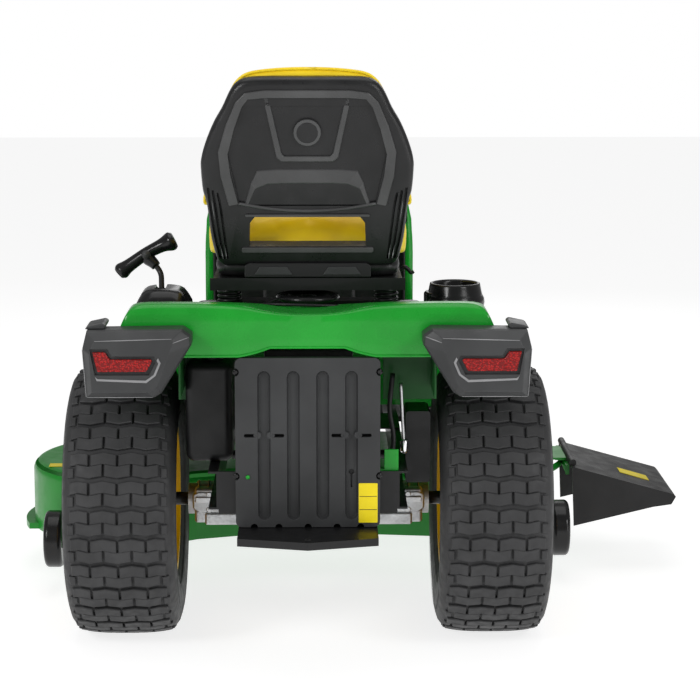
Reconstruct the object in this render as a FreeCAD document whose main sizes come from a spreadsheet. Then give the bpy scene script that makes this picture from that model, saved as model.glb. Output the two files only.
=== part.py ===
"""Riding lawn mower: a garden tractor with a three-blade mower deck, as a parametric document.

Machine axes while modelling: X to the machine's right, Y forward, Z up, with Y = 0 at the rear axle,
X = 0 on the middle plane and Z = 0 on the ground. Every sub-part's Placement then moves it by shift_x
and shift_y, so that the origin is the centre of the whole machine's footprint.
"""

import FreeCAD, Part
import math
import os
import re

import Sketcher
from FreeCAD import Rotation, Vector

# ---------------------------------------------------------------- driving dimensions, in millimetres
DIMS = [
    ("shift_x", -89.5, "from the middle plane to the footprint's centre"),
    ("shift_y", -569, "from the rear axle to the footprint's centre"),
    ("gap", 0.3, "clearance between pieces that touch"),
    ("sheet_t", 4, "thickness of formed panels"),
    ("wheelbase", 1250, "rear axle to front axle"),
    ("rear_track", 752, "between the rear tyres' middles"),
    ("rear_r", 279, "rear tyre radius, 22 inch tyre"),
    ("rear_w", 226, "rear tyre width"),
    ("rear_bead", 152, "rear rim seat radius, 12 inch rim"),
    ("front_track", 830, "between the front tyres' middles"),
    ("front_r", 190, "front tyre radius, 15 inch tyre"),
    ("front_w", 152, "front tyre width"),
    ("front_bead", 80, "front rim seat radius"),
    ("axle_r", 12.7, "rear axle shaft radius"),
    ("rail_x", 176, "inner face of a frame rail"),
    ("rail_t", 4, "rail thickness"),
    ("rail_flange", 20, "rail flange width"),
    ("rail_z", 320, "underside of the rails"),
    ("rail_tall", 76, "rail height"),
    ("rail_y0", -270, "rear end of the rails"),
    ("rail_y1", 1400, "front end of the rails"),
    ("drop_z", 311.4, "underside of the axle plates on the rails"),
    ("hitch_z", 290, "top of the hitch plate"),
    ("hitch_w", 136, "half width of the hitch plate"),
    ("hitch_y", -420, "rearmost point of the hitch plate"),
    ("hitch_t", 6, "hitch plate thickness"),
    ("hitch_r", 8, "hitch pin hole radius"),
    ("cover_y", -290, "front face of the rear cover"),
    ("cover_w", 141, "half width of the rear cover"),
    ("cover_z0", 291, "underside of the rear cover"),
    ("cover_z1", 627, "top of the rear cover"),
    ("rib_w", 31, "width of a pressed rib"),
    ("rib_pitch", 48, "from one rib to the next"),
    ("band_y", -300, "rear face of the fender"),
    ("fender_w", 372, "half width of the fender"),
    ("lip_z", 735, "highest point of the fender's rear lip"),
    ("fender_z", 680, "top of the fender beside the cup holder"),
    ("fender_z1", 629, "top of the fender at its front edge"),
    ("arch_z", 630, "lower edge of the fender at the rear"),
    ("spring_z", 694.5, "foot of the seat springs"),
    ("fender_y1", 380, "front face of the fender"),
    ("pod_y", -375, "rear face of a light pod"),
    ("pod_w", 429, "outermost point of a light pod"),
    ("pod_z0", 560, "underside of a light pod"),
    ("pod_z1", 692, "top of a light pod"),
    ("pod_tip", 221, "inner tip of a light pod"),
    ("lens_z0", 615, "underside of a tail lens"),
    ("lens_z1", 652, "top of a tail lens"),
    ("cup_x", 306, "cup holder centre"),
    ("cup_y", 50, "cup holder centre"),
    ("cup_z", 725, "cup holder rim"),
    ("cup_r", 45, "cup well radius"),
    ("lever_x", -316, "lift lever plane"),
    ("lever_y", 180, "lift lever pivot"),
    ("lever_z", 600, "lift lever pivot"),
    ("tank_z0", 400, "underside of the fuel tank"),
    ("tank_z1", 600, "top of the fuel tank"),
    ("cap_x", -190, "fuel cap centre"),
    ("cap_y", -150, "fuel cap centre"),
    ("cap_z", 704, "underside of the fuel cap"),
    ("cap_r", 31, "fuel cap radius"),
    ("step_z", 352, "underside of the foot platforms"),
    ("step_w", 470, "outer edge of the foot platforms"),
    ("dash_y", 790, "front face of the dash"),
    ("dash_w", 228, "half width of the dash top"),
    ("dash_z", 930, "top of the dash"),
    ("throttle_x", 150, "throttle lever position"),
    ("pto_x", 188, "blade clutch knob position"),
    ("column_tilt", 20, "lean of the steering column, degrees"),
    ("wheel_y", 600, "steering wheel centre"),
    ("wheel_z", 1010, "steering wheel centre"),
    ("wheel_r", 175, "steering wheel rim radius"),
    ("column_l", 470, "length of the steering shaft"),
    ("hood_y0", 790, "rear edge of the hood"),
    ("hood_y1", 1558, "nose of the hood"),
    ("hood_w", 250, "half width of the hood at the rear"),
    ("hood_z0", 480, "underside of the hood"),
    ("hood_z1", 935, "top of the hood at the rear"),
    ("nose_z", 640, "split between hood and grille"),
    ("engine_y", 1080, "crankshaft position"),
    ("seat_hinge_y", 330, "seat hinge pin"),
    ("seat_hinge_z", 740, "seat hinge pin"),
    ("pan_w", 197, "half width of the seat pan"),
    ("pan_y", -93, "rear face of the seat pan"),
    ("pan_z", 755, "top of the seat pan"),
    ("seat_w", 211, "half width of the seat back"),
    ("seat_z0", 783, "foot of the seat back"),
    ("seat_z1", 1172, "top of the seat back"),
    ("seat_lean", 12, "lean of the seat back, degrees"),
    ("back_t", 35, "depth of the seat back shell"),
    ("window_w", 115, "half width of the opening in the seat back"),
    ("window_z0", 817, "underside of that opening"),
    ("window_z1", 884, "top of that opening"),
    ("kingpin_x", 310, "kingpin position"),
    ("kingpin_r", 12, "kingpin radius"),
    ("axle_z", 228, "front axle pivot height"),
    ("arm_l", 90, "length of a steering arm"),
    ("tie_z", 160, "tie rod height"),
    ("deck_z0", 96, "lower edge of the mower deck"),
    ("deck_z1", 250, "top of the mower deck"),
    ("lobe_r", 225, "radius of a deck lobe"),
    ("lobe_r_left", 243, "radius of the left lobe"),
    ("lobe_x", 385, "between blade centres, across"),
    ("deck_x", -15, "middle blade centre"),
    ("lobe_y", 560, "left blade centre"),
    ("lobe_y_mid", 640, "middle blade centre"),
    ("lobe_y_right", 600, "right blade centre"),
    ("blade_r", 188, "half length of a blade"),
    ("shaft_r", 12, "blade spindle radius"),
    ("gauge_r", 63.5, "gauge wheel radius"),
    ("gauge_w", 40, "gauge wheel width"),
    ("gauge_z", 116, "gauge wheel axle height"),
    ("gauge_left_x", -568, "left gauge wheel middle"),
    ("gauge_left_y", 300, "left gauge wheel axle"),
    ("gauge_right_x", 569, "right gauge wheel middle"),
    ("gauge_right_y", 385, "right gauge wheel axle"),
    ("chute_x", 600, "discharge chute hinge"),
    ("chute_z", 256, "discharge chute hinge"),
    ("chute_x1", 842, "tip of the discharge chute"),
    ("chute_y0", 430, "rear side of the chute"),
    ("chute_y1", 720, "front side of the chute"),
    ("lift_y", 330, "rockshaft position"),
    ("lift_z", 300, "rockshaft height"),
    ("lift_arm", 95, "length of a lift arm"),
    ("lift_drop", 27.5, "how far the arms hang below level at rest"),
    ("pedal_y", 865, "pedal pivot"),
    ("pedal_z", 380, "pedal pivot"),
]
ALIASES = {name for name, _, _ in DIMS}

doc = FreeCAD.newDocument("riding_mower")
dims = doc.addObject("Spreadsheet::Sheet", "dims")
for row, (name, size, meaning) in enumerate(DIMS, start=1):
    dims.set(f"A{row}", meaning)
    dims.set(f"B{row}", str(size))
    dims.setAlias(f"B{row}", name)
doc.recompute()

NODES = []


# ---------------------------------------------------------------- building helpers
def ref(text):
    """The expression with each driving dimension named as a cell of the sheet."""
    return re.sub(
        r"[a-z][a-z0-9_]*",
        lambda found: "dims." + found.group() if found.group() in ALIASES else found.group(),
        str(text),
    )


def value(text):
    """The number that an expression comes to."""
    return float(dims.evalExpression(ref(text)))


def bind(thing, **properties):
    """Binds each named property of a document object to an expression."""
    for name, text in properties.items():
        thing.setExpression(name.replace("__", "."), ref(text))
    return thing


def move(thing, x="0", y="0", z="0"):
    return bind(thing, Placement__Base__x=x, Placement__Base__y=y, Placement__Base__z=z)


def box(x, y, z):
    """A block between two limits on each axis."""
    block = doc.addObject("Part::Box", "Block")
    bind(
        block,
        Length=f"({x[1]})-({x[0]})",
        Width=f"({y[1]})-({y[0]})",
        Height=f"({z[1]})-({z[0]})",
    )
    return move(block, x[0], y[0], z[0])


TURNS = {"X": Rotation(Vector(0, 1, 0), 90), "Y": Rotation(Vector(1, 0, 0), -90), "Z": Rotation()}


def rod(axis, radius, span, at):
    """A round bar along an axis between two limits, at its place on the other two axes."""
    bar = doc.addObject("Part::Cylinder", "Rod")
    bar.Placement.Rotation = TURNS[axis]
    bind(bar, Radius=radius, Height=f"({span[1]})-({span[0]})")
    place = list(at)
    place.insert("XYZ".index(axis), span[0])
    return move(bar, *place)


def strut(radius, start, end):
    """A round bar between two points."""
    a, b = (Vector(*(value(c) for c in point)) for point in (start, end))
    bar = doc.addObject("Part::Cylinder", "Strut")
    bar.Placement.Rotation = Rotation(Vector(0, 0, 1), b - a)
    bar.Height = (b - a).Length
    bind(bar, Radius=radius)
    return move(bar, *start)


def joined(kind, name, property_name, pieces):
    result = doc.addObject(kind, name)
    setattr(result, property_name, list(pieces))
    return result


def fuse(*pieces):
    return joined("Part::MultiFuse", "Fusion", "Shapes", pieces)


def common(*pieces):
    return joined("Part::MultiCommon", "Overlap", "Shapes", pieces)


def group(*pieces):
    return joined("Part::Compound", "Group", "Links", pieces)


def cut(base, *tools):
    result = doc.addObject("Part::Cut", "Cut")
    result.Base = base
    result.Tool = tools[0] if len(tools) == 1 else fuse(*tools)
    return result


def mirrored(piece):
    """The piece's twin on the other side of the middle plane."""
    twin = doc.addObject("Part::Mirroring", "Twin")
    twin.Source = piece
    twin.Normal = Vector(1, 0, 0)
    return twin


def both(piece):
    return group(piece, mirrored(piece))


def sketch_outline(body, plane, points, holes=()):
    """A closed outline of straight edges, each corner bound to the sheet, with round holes."""
    sketch = body.newObject("Sketcher::SketchObject", "Outline")
    support = next(o for o in body.Origin.OriginFeatures if o.Role == plane + "_Plane")
    sketch.AttachmentSupport = [(support, "")]
    sketch.MapMode = "FlatFace"
    corners = [(value(a), value(b)) for a, b in points]
    for i, corner in enumerate(corners):
        following = corners[(i + 1) % len(corners)]
        sketch.addGeometry(Part.LineSegment(Vector(*corner, 0), Vector(*following, 0)), False)
    for i in range(len(corners)):
        sketch.addConstraint(Sketcher.Constraint("Coincident", i, 2, (i + 1) % len(corners), 1))
    for i, (a, b) in enumerate(points):
        for kind, text, size in (("DistanceX", a, corners[i][0]), ("DistanceY", b, corners[i][1])):
            index = sketch.addConstraint(Sketcher.Constraint(kind, -1, 1, i, 1, size))
            sketch.setExpression(f"Constraints[{index}]", ref(text))
    for a, b, radius in holes:
        centre = Vector(value(a), value(b), 0)
        circle = sketch.addGeometry(Part.Circle(centre, Vector(0, 0, 1), value(radius)), False)
        index = sketch.addConstraint(Sketcher.Constraint("Radius", circle, value(radius)))
        sketch.setExpression(f"Constraints[{index}]", ref(radius))
        for kind, text in (("DistanceX", a), ("DistanceY", b)):
            index = sketch.addConstraint(Sketcher.Constraint(kind, -1, 1, circle, 3, value(text)))
            sketch.setExpression(f"Constraints[{index}]", ref(text))
    return sketch


def prism(plane, span, points, holes=()):
    """A body padded from an outline: XY along Z, XZ along Y or YZ along X, between two limits."""
    body = doc.addObject("PartDesign::Body", "Prism")
    sketch = sketch_outline(body, plane, points, holes)
    backwards = plane == "XZ"
    sign = "-1*" if backwards else ""
    sketch.setExpression("AttachmentOffset.Base.z", ref(f"{sign}({span[0]})"))
    pad = body.newObject("PartDesign::Pad", "Pad")
    pad.Profile = sketch
    pad.Reversed = backwards
    bind(pad, Length=f"({span[1]})-({span[0]})")
    return body


def turned(axis, points, at=("0", "0", "0")):
    """A body of revolution. X: points are (along, radius). Z: points are (radius, along)."""
    body = doc.addObject("PartDesign::Body", "Turned")
    sketch = sketch_outline(body, "XY" if axis == "X" else "XZ", points)
    spin = body.newObject("PartDesign::Revolution", "Revolution")
    spin.Profile = sketch
    spin.ReferenceAxis = (sketch, ["H_Axis" if axis == "X" else "V_Axis"])
    spin.Angle = 360
    return move(body, *at)


def rounded(piece, radius, chosen=lambda edge: True):
    """The piece with the chosen edges rounded."""
    doc.recompute()
    size = value(radius)
    result = doc.addObject("Part::Fillet", "Rounded")
    result.Base = piece
    result.Edges = [
        (i, size, size) for i, edge in enumerate(piece.Shape.Edges, start=1) if chosen(edge)
    ]
    return result


def runs_along(axis):
    """A test for straight edges along an axis."""
    wanted = {"X": Vector(1, 0, 0), "Y": Vector(0, 1, 0), "Z": Vector(0, 0, 1)}[axis]

    def test(edge):
        a, b = edge.Vertexes[0].Point, edge.Vertexes[-1].Point
        return (b - a).Length > 1e-6 and abs((b - a).normalize().dot(wanted)) > 0.9999

    return test


def node(label, piece):
    """Names a sub-part and moves it from the machine's axes to the footprint's centre."""
    whole = group(piece)
    whole.Label = label
    move(whole, "shift_x", "shift_y", "0")
    NODES.append(whole)
    return whole


def pair(label, piece):
    """A right-hand sub-part and its left-hand twin."""
    node(label + "_right", piece)
    node(label + "_left", mirrored(piece))


def mirror_points(half):
    """A symmetric outline from its right half, listed from the middle outwards and back."""
    return list(half) + [(f"-1*({x})", z) for x, z in reversed(half) if x != "0"]


# ---------------------------------------------------------------- frame
def frame():
    channel = prism(
        "XZ",
        ("rail_y0", "rail_y1"),
        [
            ("rail_x", "rail_z"),
            ("rail_x+rail_flange", "rail_z"),
            ("rail_x+rail_flange", "rail_z+rail_t"),
            ("rail_x+rail_t", "rail_z+rail_t"),
            ("rail_x+rail_t", "rail_z+rail_tall-rail_t"),
            ("rail_x+rail_flange", "rail_z+rail_tall-rail_t"),
            ("rail_x+rail_flange", "rail_z+rail_tall"),
            ("rail_x", "rail_z+rail_tall"),
        ],
    )
    axle_plate = box(("rail_x", "rail_x+rail_flange"), ("-55", "60"), ("drop_z", "rail_z+rail_t"))
    pair("frame_rail", fuse(channel, axle_plate))

    plate_half = [
        ("rail_x", "rail_z+rail_tall"),
        ("rail_x", "drop_z"),
        ("cover_w", "drop_z"),
        ("cover_w", "hitch_z+gap"),
    ]
    rear_plate = prism("XZ", ("rail_y0", "rail_y0+hitch_t"), mirror_points(plate_half))
    bolt_x, bolt_z = "60", "30"
    middle = "(rail_z+rail_tall/2)"
    front_plate = prism(
        "XZ",
        ("rail_y1", "rail_y1+hitch_t"),
        [
            ("-1*rail_x-rail_flange", "rail_z-rail_t"),
            ("rail_x+rail_flange", "rail_z-rail_t"),
            ("rail_x+rail_flange", "rail_z+rail_tall+rail_t"),
            ("-1*rail_x-rail_flange", "rail_z+rail_tall+rail_t"),
        ],
        [(f"{a}*{bolt_x}", f"{middle}+{b}*{bolt_z}", "5.5") for a in (-1, 1) for b in (-1, 1)],
    )
    hangers = [
        prism(
            "XZ",
            (f"wheelbase+({start})", f"wheelbase+({start})+8"),
            [
                ("-1*rail_x-rail_flange", "rail_z"),
                ("-40", "axle_z-28"),
                ("40", "axle_z-28"),
                ("rail_x+rail_flange", "rail_z"),
            ],
            [("0", "axle_z", "kingpin_r+gap")],
        )
        for start in ("-50", "42")
    ]
    seat_base = box(("-156", "156"), ("300", "360"), ("fender_z1", "fender_z1+22"))
    ear = prism(
        "YZ",
        ("150", "156"),
        [("312", "fender_z1+16"), ("348", "fender_z1+16"), ("342", "749"), ("318", "749")],
        [("seat_hinge_y", "seat_hinge_z", "6+gap")],
    )
    seat_bracket = cut(fuse(seat_base, ear, mirrored(ear)), fender_form(0))
    tray_z = "rail_z+rail_tall+gap"
    tray = box(("-1*rail_x-rail_flange", "rail_x+rail_flange"), ("140", "300"), (tray_z, f"{tray_z}+3"))
    node("frame_crossmembers", group(rear_plate, front_plate, *hangers, seat_bracket, tray))

    corner_y = "hitch_y+35"
    plate = prism(
        "XY",
        ("hitch_z-hitch_t", "hitch_z"),
        [
            ("-1*hitch_w", "cover_y+32"),
            ("-1*hitch_w", corner_y),
            ("0", "hitch_y"),
            ("hitch_w", corner_y),
            ("hitch_w", "cover_y+32"),
        ],
        [("0", "hitch_y+26", "hitch_r")],
    )
    lip = prism(
        "XY",
        ("hitch_z-15", "hitch_z-hitch_t"),
        [
            ("-1*hitch_w", corner_y),
            ("0", "hitch_y"),
            ("hitch_w", corner_y),
            ("hitch_w", f"{corner_y}+4"),
            ("0", "hitch_y+4"),
            ("-1*hitch_w", f"{corner_y}+4"),
        ],
    )
    node("hitch_plate", fuse(plate, lip))


def rear_cover():
    back, front = "cover_y-3", "cover_y"
    panel = prism(
        "XZ",
        (back, front),
        [
            ("-1*cover_w", "cover_z0+12"),
            ("12-cover_w", "cover_z0"),
            ("cover_w-12", "cover_z0"),
            ("cover_w", "cover_z0+12"),
            ("cover_w", "cover_z1-20"),
            ("cover_w-20", "cover_z1"),
            ("20-cover_w", "cover_z1"),
            ("-1*cover_w", "cover_z1-20"),
        ],
    )
    flange = box(("cover_w-3", "cover_w"), (front, "rail_y0-gap"), ("cover_z0+12", "cover_z1-20"))
    ribs = []
    for step in (-1.5, -0.5, 0.5, 1.5):
        x = f"({step}*rib_pitch)"
        half = "rib_w/2"
        low, high = "cover_z0+14", "cover_z0+280"
        ribs.append(
            prism(
                "XZ",
                ("cover_y-6", back),
                [
                    (f"{x}-{half}", f"{low}+8"),
                    (f"{x}-{half}+8", low),
                    (f"{x}+{half}-8", low),
                    (f"{x}+{half}", f"{low}+8"),
                    (f"{x}+{half}", f"{high}-8"),
                    (f"{x}+{half}-8", high),
                    (f"{x}-{half}+8", high),
                    (f"{x}-{half}", f"{high}-8"),
                ],
            )
        )
    node("rear_cover", fuse(panel, flange, mirrored(flange), *ribs))


def transaxle():
    case = rounded(box(("-115", "115"), ("-75", "120"), ("195", "360")), "14")
    sump = rounded(box(("-80", "80"), ("-60", "100"), ("190", "210")), "8", runs_along("Z"))
    tube = rod("X", "32", ("100", "250"), ("0", "rear_r"))
    boss = rounded(box(("150", "236"), ("-42", "42"), ("236", "308")), "6")
    foot = rounded(box(("118", "215"), ("-46", "30"), ("232", "258")), "5")
    bore = rod("X", "axle_r+gap", ("120", "260"), ("0", "rear_r"))
    side = cut(fuse(tube, boss, foot), bore)
    node("transaxle", fuse(case, sump, side, mirrored(side)))


# ---------------------------------------------------------------- body work
def fender_form(inset):
    """The fender's form, as the overlap of its side and end outlines. Its top falls to the front."""
    n = str(inset)
    side = prism(
        "YZ",
        ("-400", "400"),
        [
            (f"band_y+{n}", "300"),
            (f"fender_y1-{n}", "300"),
            (f"fender_y1-{n}", f"fender_z1-{n}"),
            ("cup_y", f"fender_z-{n}"),
            ("cap_y+34", f"cap_z-1-{n}"),
            ("cap_y-36", f"cap_z-1-{n}"),
            ("band_y+14", f"lip_z-{n}"),
            (f"band_y+{n}", f"lip_z-8-{n}"),
        ],
    )
    half = [
        ("0", f"lip_z-23-{n}"),
        ("110", f"lip_z-12-{n}"),
        ("190", f"lip_z-3-{n}"),
        ("320", f"lip_z-{n}"),
        (f"fender_w-30-{n}", f"lip_z-12-{n}/2"),
        (f"fender_w-14-{n}", "lip_z-42"),
        (f"fender_w-4-{n}", "lip_z-62"),
        (f"fender_w-{n}", "lip_z-95"),
        (f"fender_w-{n}", "300"),
    ]
    end = prism("XZ", ("band_y-10", "fender_y1+10"), mirror_points(half))
    return common(side, end)


def fender():
    outer = fender_form(0)
    shell = cut(outer, fender_form(value("sheet_t")))
    underside = prism(
        "XZ",
        ("band_y-10", "fender_y1-sheet_t"),
        [
            ("-400", "200"),
            ("400", "200"),
            ("400", "arch_z"),
            ("131", "arch_z"),
            ("72", "arch_z+17"),
            ("-72", "arch_z+17"),
            ("-131", "arch_z"),
            ("-400", "arch_z"),
        ],
    )
    well_wall = box(("250-sheet_t", "250"), ("band_y+1", "340"), ("540", "lip_z"))
    walls = common(fender_form(1), fuse(well_wall, mirrored(well_wall)))
    outside_rail = "rail_x+rail_flange+9"
    front_gap = prism(
        "XZ",
        ("fender_y1-sheet_t-1", "fender_y1+1"),
        [
            ("-400", "200"),
            ("400", "200"),
            ("400", "step_z+15"),
            (outside_rail, "step_z+15"),
            (outside_rail, "rail_z+rail_tall+gap"),
            (f"-1*({outside_rail})", "rail_z+rail_tall+gap"),
            (f"-1*({outside_rail})", "step_z+15"),
            ("-400", "step_z+15"),
        ],
    )
    lever_slot = box(("lever_x-20", "lever_x+20"), ("108", "262"), ("600", "lip_z+20"))
    cup_hole = rod("Z", "cup_r+5", ("600", "lip_z+20"), ("cup_x", "cup_y"))
    neck_hole = rod("Z", "24", ("600", "lip_z+20"), ("cap_x", "cap_y"))
    openings = (underside, front_gap, lever_slot, cup_hole, neck_hole)
    node("fender_pan", fuse(cut(shell, *openings), walls))


def light_pods():
    rear = prism(
        "XZ",
        ("pod_y", "band_y-gap"),
        [
            ("pod_w-6", "pod_z1-4"),
            ("pod_w", "pod_z1-37"),
            ("pod_w-7", "pod_z0"),
            ("pod_w-137", "pod_z0"),
            ("pod_w-148", "pod_z0+8"),
            ("pod_tip", "pod_z1-31"),
            ("pod_tip", "pod_z1-14"),
            ("pod_tip+16", "pod_z1"),
        ],
    )
    flare_top = prism(
        "YZ",
        ("fender_w+gap", "pod_w-5"),
        [
            ("band_y-gap", "pod_z1-12"),
            ("band_y-gap", "pod_z1-19"),
            ("140", "604"),
            ("140", "610"),
        ],
    )
    flare_side = prism(
        "YZ",
        ("pod_w-10", "pod_w-5"),
        [("band_y-gap", "pod_z1-14"), ("band_y-gap", "600"), ("140", "600"), ("140", "606")],
    )
    hollow = prism(
        "XZ",
        ("pod_y+13", "band_y"),
        [
            ("pod_w-12", "pod_z1-14"),
            ("pod_w-8", "pod_z1-37"),
            ("pod_w-14", "pod_z0+8"),
            ("pod_w-130", "pod_z0+8"),
            ("pod_w-138", "pod_z0+12"),
            ("pod_tip+10", "pod_z1-30"),
            ("pod_tip+20", "pod_z1-10"),
        ],
    )
    recess = prism(
        "XZ",
        ("pod_y", "pod_y+6"),
        [
            ("pod_w-16", "lens_z1+6"),
            ("pod_w-26", "lens_z0-8"),
            ("pod_w-126", "lens_z0-8"),
            ("pod_w-140", "lens_z0+22"),
            ("pod_w-58", "lens_z0+26"),
            ("pod_w-50", "lens_z1+6"),
        ],
    )
    grip = box(("pod_w-44", "pod_w-6"), ("band_y-30", "band_y+50"), ("pod_z1-6", "pod_z1+6"))
    pair("light_pod", cut(fuse(rear, flare_top, flare_side, grip), hollow, recess))
    lens = prism(
        "XZ",
        ("pod_y+3", "pod_y+6"),
        [
            ("pod_w-20", "lens_z1"),
            ("pod_w-31", "lens_z0"),
            ("pod_w-123", "lens_z0"),
            ("pod_w-134", "lens_z0+21"),
            ("pod_w-54", "lens_z0+22"),
            ("pod_w-45", "lens_z1"),
        ],
    )
    node("tail_lenses", both(lens))


def fender_fittings():
    cup = turned(
        "Z",
        [
            ("0", "cup_z-82"),
            ("cup_r+4", "cup_z-82"),
            ("cup_r+4", "cup_z-25"),
            ("cup_r+13", "cup_z-25"),
            ("cup_r+7", "cup_z"),
            ("cup_r", "cup_z"),
            ("cup_r", "cup_z-78"),
            ("0", "cup_z-78"),
        ],
        ("cup_x", "cup_y", "0"),
    )
    skirt = cut(
        rod("Z", "cup_r+13", ("cup_z-70", "cup_z-24"), ("cup_x", "cup_y")),
        rod("Z", "cup_r+2", ("cup_z-72", "cup_z"), ("cup_x", "cup_y")),
        fender_form(0),
    )
    node("cup_holder", fuse(cup, skirt))

    base = rounded(
        box(("lever_x-52", "lever_x+66"), ("104", "256"), ("640", "698")),
        "12",
        lambda edge: edge.BoundBox.ZMin > 685,
    )
    slot = box(("lever_x-14", "lever_x+14"), ("140", "246"), ("630", "720"))
    cheeks = [
        prism(
            "YZ",
            (f"lever_x+({start})", f"lever_x+({start})+3"),
            [("152", "lever_z-14"), ("208", "lever_z-14"), ("248", "682"), ("122", "682")],
            [("lever_y", "lever_z", "8+gap")],
        )
        for start in ("-18", "15")
    ]
    node("lever_console", fuse(cut(base, slot, fender_form(0)), *cheeks))

    tank = rounded(box(("-243", "-150"), ("-200", "170"), ("tank_z0", "tank_z1")), "16")
    neck = rod("Z", "21", ("tank_z1-5", "cap_z-gap"), ("cap_x", "cap_y"))
    node("fuel_tank", fuse(tank, neck))
    cap = rod("Z", "cap_r", ("cap_z", "cap_z+12"), ("cap_x", "cap_y"))
    node("fuel_cap", rounded(cap, "3", lambda edge: edge.BoundBox.ZMin > value("cap_z+6")))
    case = rounded(box(("-95", "95"), ("150", "290"), ("400", "570")), "5")
    post = rod("Z", "8", ("570", "586"), ("65", "220"))
    node("battery", fuse(case, post, mirrored(post)))
    guard = rounded(
        box(("rail_x+rail_flange+gap", "246"), ("-150", "-52"), ("346", "492")), "6", runs_along("Y")
    )
    node("side_guard", guard)

    step = prism(
        "XZ",
        ("440", "940"),
        [
            ("rail_x+rail_flange+gap", "step_z"),
            ("step_w-8", "step_z"),
            ("step_w", "step_z+8"),
            ("step_w", "step_z+24"),
            ("step_w-4", "step_z+24"),
            ("step_w-12", "step_z+12"),
            ("rail_x+rail_flange+gap", "step_z+12"),
        ],
    )
    toe = prism(
        "YZ",
        ("rail_x+rail_flange+60", "step_w-8"),
        [("932", "step_z+2"), ("940", "step_z+2"), ("985", "step_z+90"), ("977", "step_z+90")],
    )
    ramp = prism(
        "YZ",
        ("rail_x+rail_flange+12", "fender_w"),
        [
            ("fender_y1+gap", "step_z+40"),
            ("fender_y1+gap", "step_z+32"),
            ("440", "step_z+4"),
            ("450", "step_z+12"),
        ],
    )
    node("foot_platforms", both(fuse(step, toe, ramp)))


# ---------------------------------------------------------------- dash, steering and hood
def column_rod(radius, start, end):
    """A round bar on the steering column's axis, between two distances below the wheel's centre."""
    lean = math.radians(value("column_tilt"))

    def on_axis(distance):
        y = f"wheel_y+({distance})*{math.sin(lean):.6f}"
        z = f"wheel_z-({distance})*{math.cos(lean):.6f}"
        return ("0", y, z)

    return strut(radius, on_axis(start), on_axis(end))


def dash_and_steering():
    leg = rounded(box(("-110", "110"), ("700", "dash_y-4"), ("402", "820")), "10", runs_along("Z"))
    leg_room = box(("-104", "104"), ("706", "dash_y-10"), ("390", "830"))
    side = [
        ("600", "790"),
        ("dash_y-4", "790"),
        ("dash_y-4", "dash_z-20"),
        ("dash_y-50", "dash_z"),
        ("596", "dash_z-62"),
    ]
    console = rounded(prism("YZ", ("-1*dash_w", "dash_w"), side), "10", runs_along("X"))
    room = prism(
        "YZ",
        ("6-dash_w", "dash_w-6"),
        [
            ("608", "780"),
            ("dash_y-12", "780"),
            ("dash_y-12", "dash_z-26"),
            ("dash_y-54", "dash_z-8"),
            ("606", "dash_z-68"),
        ],
    )
    floor = box(("-1*dash_w", "dash_w"), ("606", "dash_y-6"), ("790", "794"))
    shaft_hole = column_rod("13", "20", "column_l+10")
    throttle_slot = box(("throttle_x-7", "throttle_x+7"), ("650", "725"), ("860", "980"))
    knob_hole = rod("Z", "6", ("850", "980"), ("pto_x", "672"))
    shell = fuse(cut(leg, leg_room), cut(console, room), cut(floor, leg_room))
    node("dash_pedestal", cut(shell, shaft_hole, throttle_slot, knob_hole))
    wall = box(("25-hood_w", "hood_w-25"), ("hood_y0+8", "hood_y0+11"), ("hood_z0", "hood_z1-125"))
    node("firewall", wall)

    ring = doc.addObject("Part::Torus", "Ring")
    bind(ring, Radius1="wheel_r", Radius2="13")
    hub = rod("Z", "38", ("-46", "4"), ("0", "0"))
    spokes = []
    for degrees in (90, 210, 330):
        spoke = box(("20", "wheel_r"), ("-14", "14"), ("-12", "-4"))
        spoke.Placement.Rotation = Rotation(Vector(0, 0, 1), degrees)
        angle = math.radians(degrees)
        corner = (
            20 * math.cos(angle) + 14 * math.sin(angle),
            20 * math.sin(angle) - 14 * math.cos(angle),
        )
        spokes.append(move(spoke, f"{corner[0]:.4f}", f"{corner[1]:.4f}", "-12"))
    shaft = rod("Z", "11", ("-1*column_l", "-40"), ("0", "0"))
    wheel = fuse(ring, hub, *spokes, shaft)
    wheel.Placement.Rotation = Rotation(Vector(1, 0, 0), value("column_tilt"))
    move(wheel, "0", "wheel_y", "wheel_z")
    node("steering_wheel", wheel)


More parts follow.
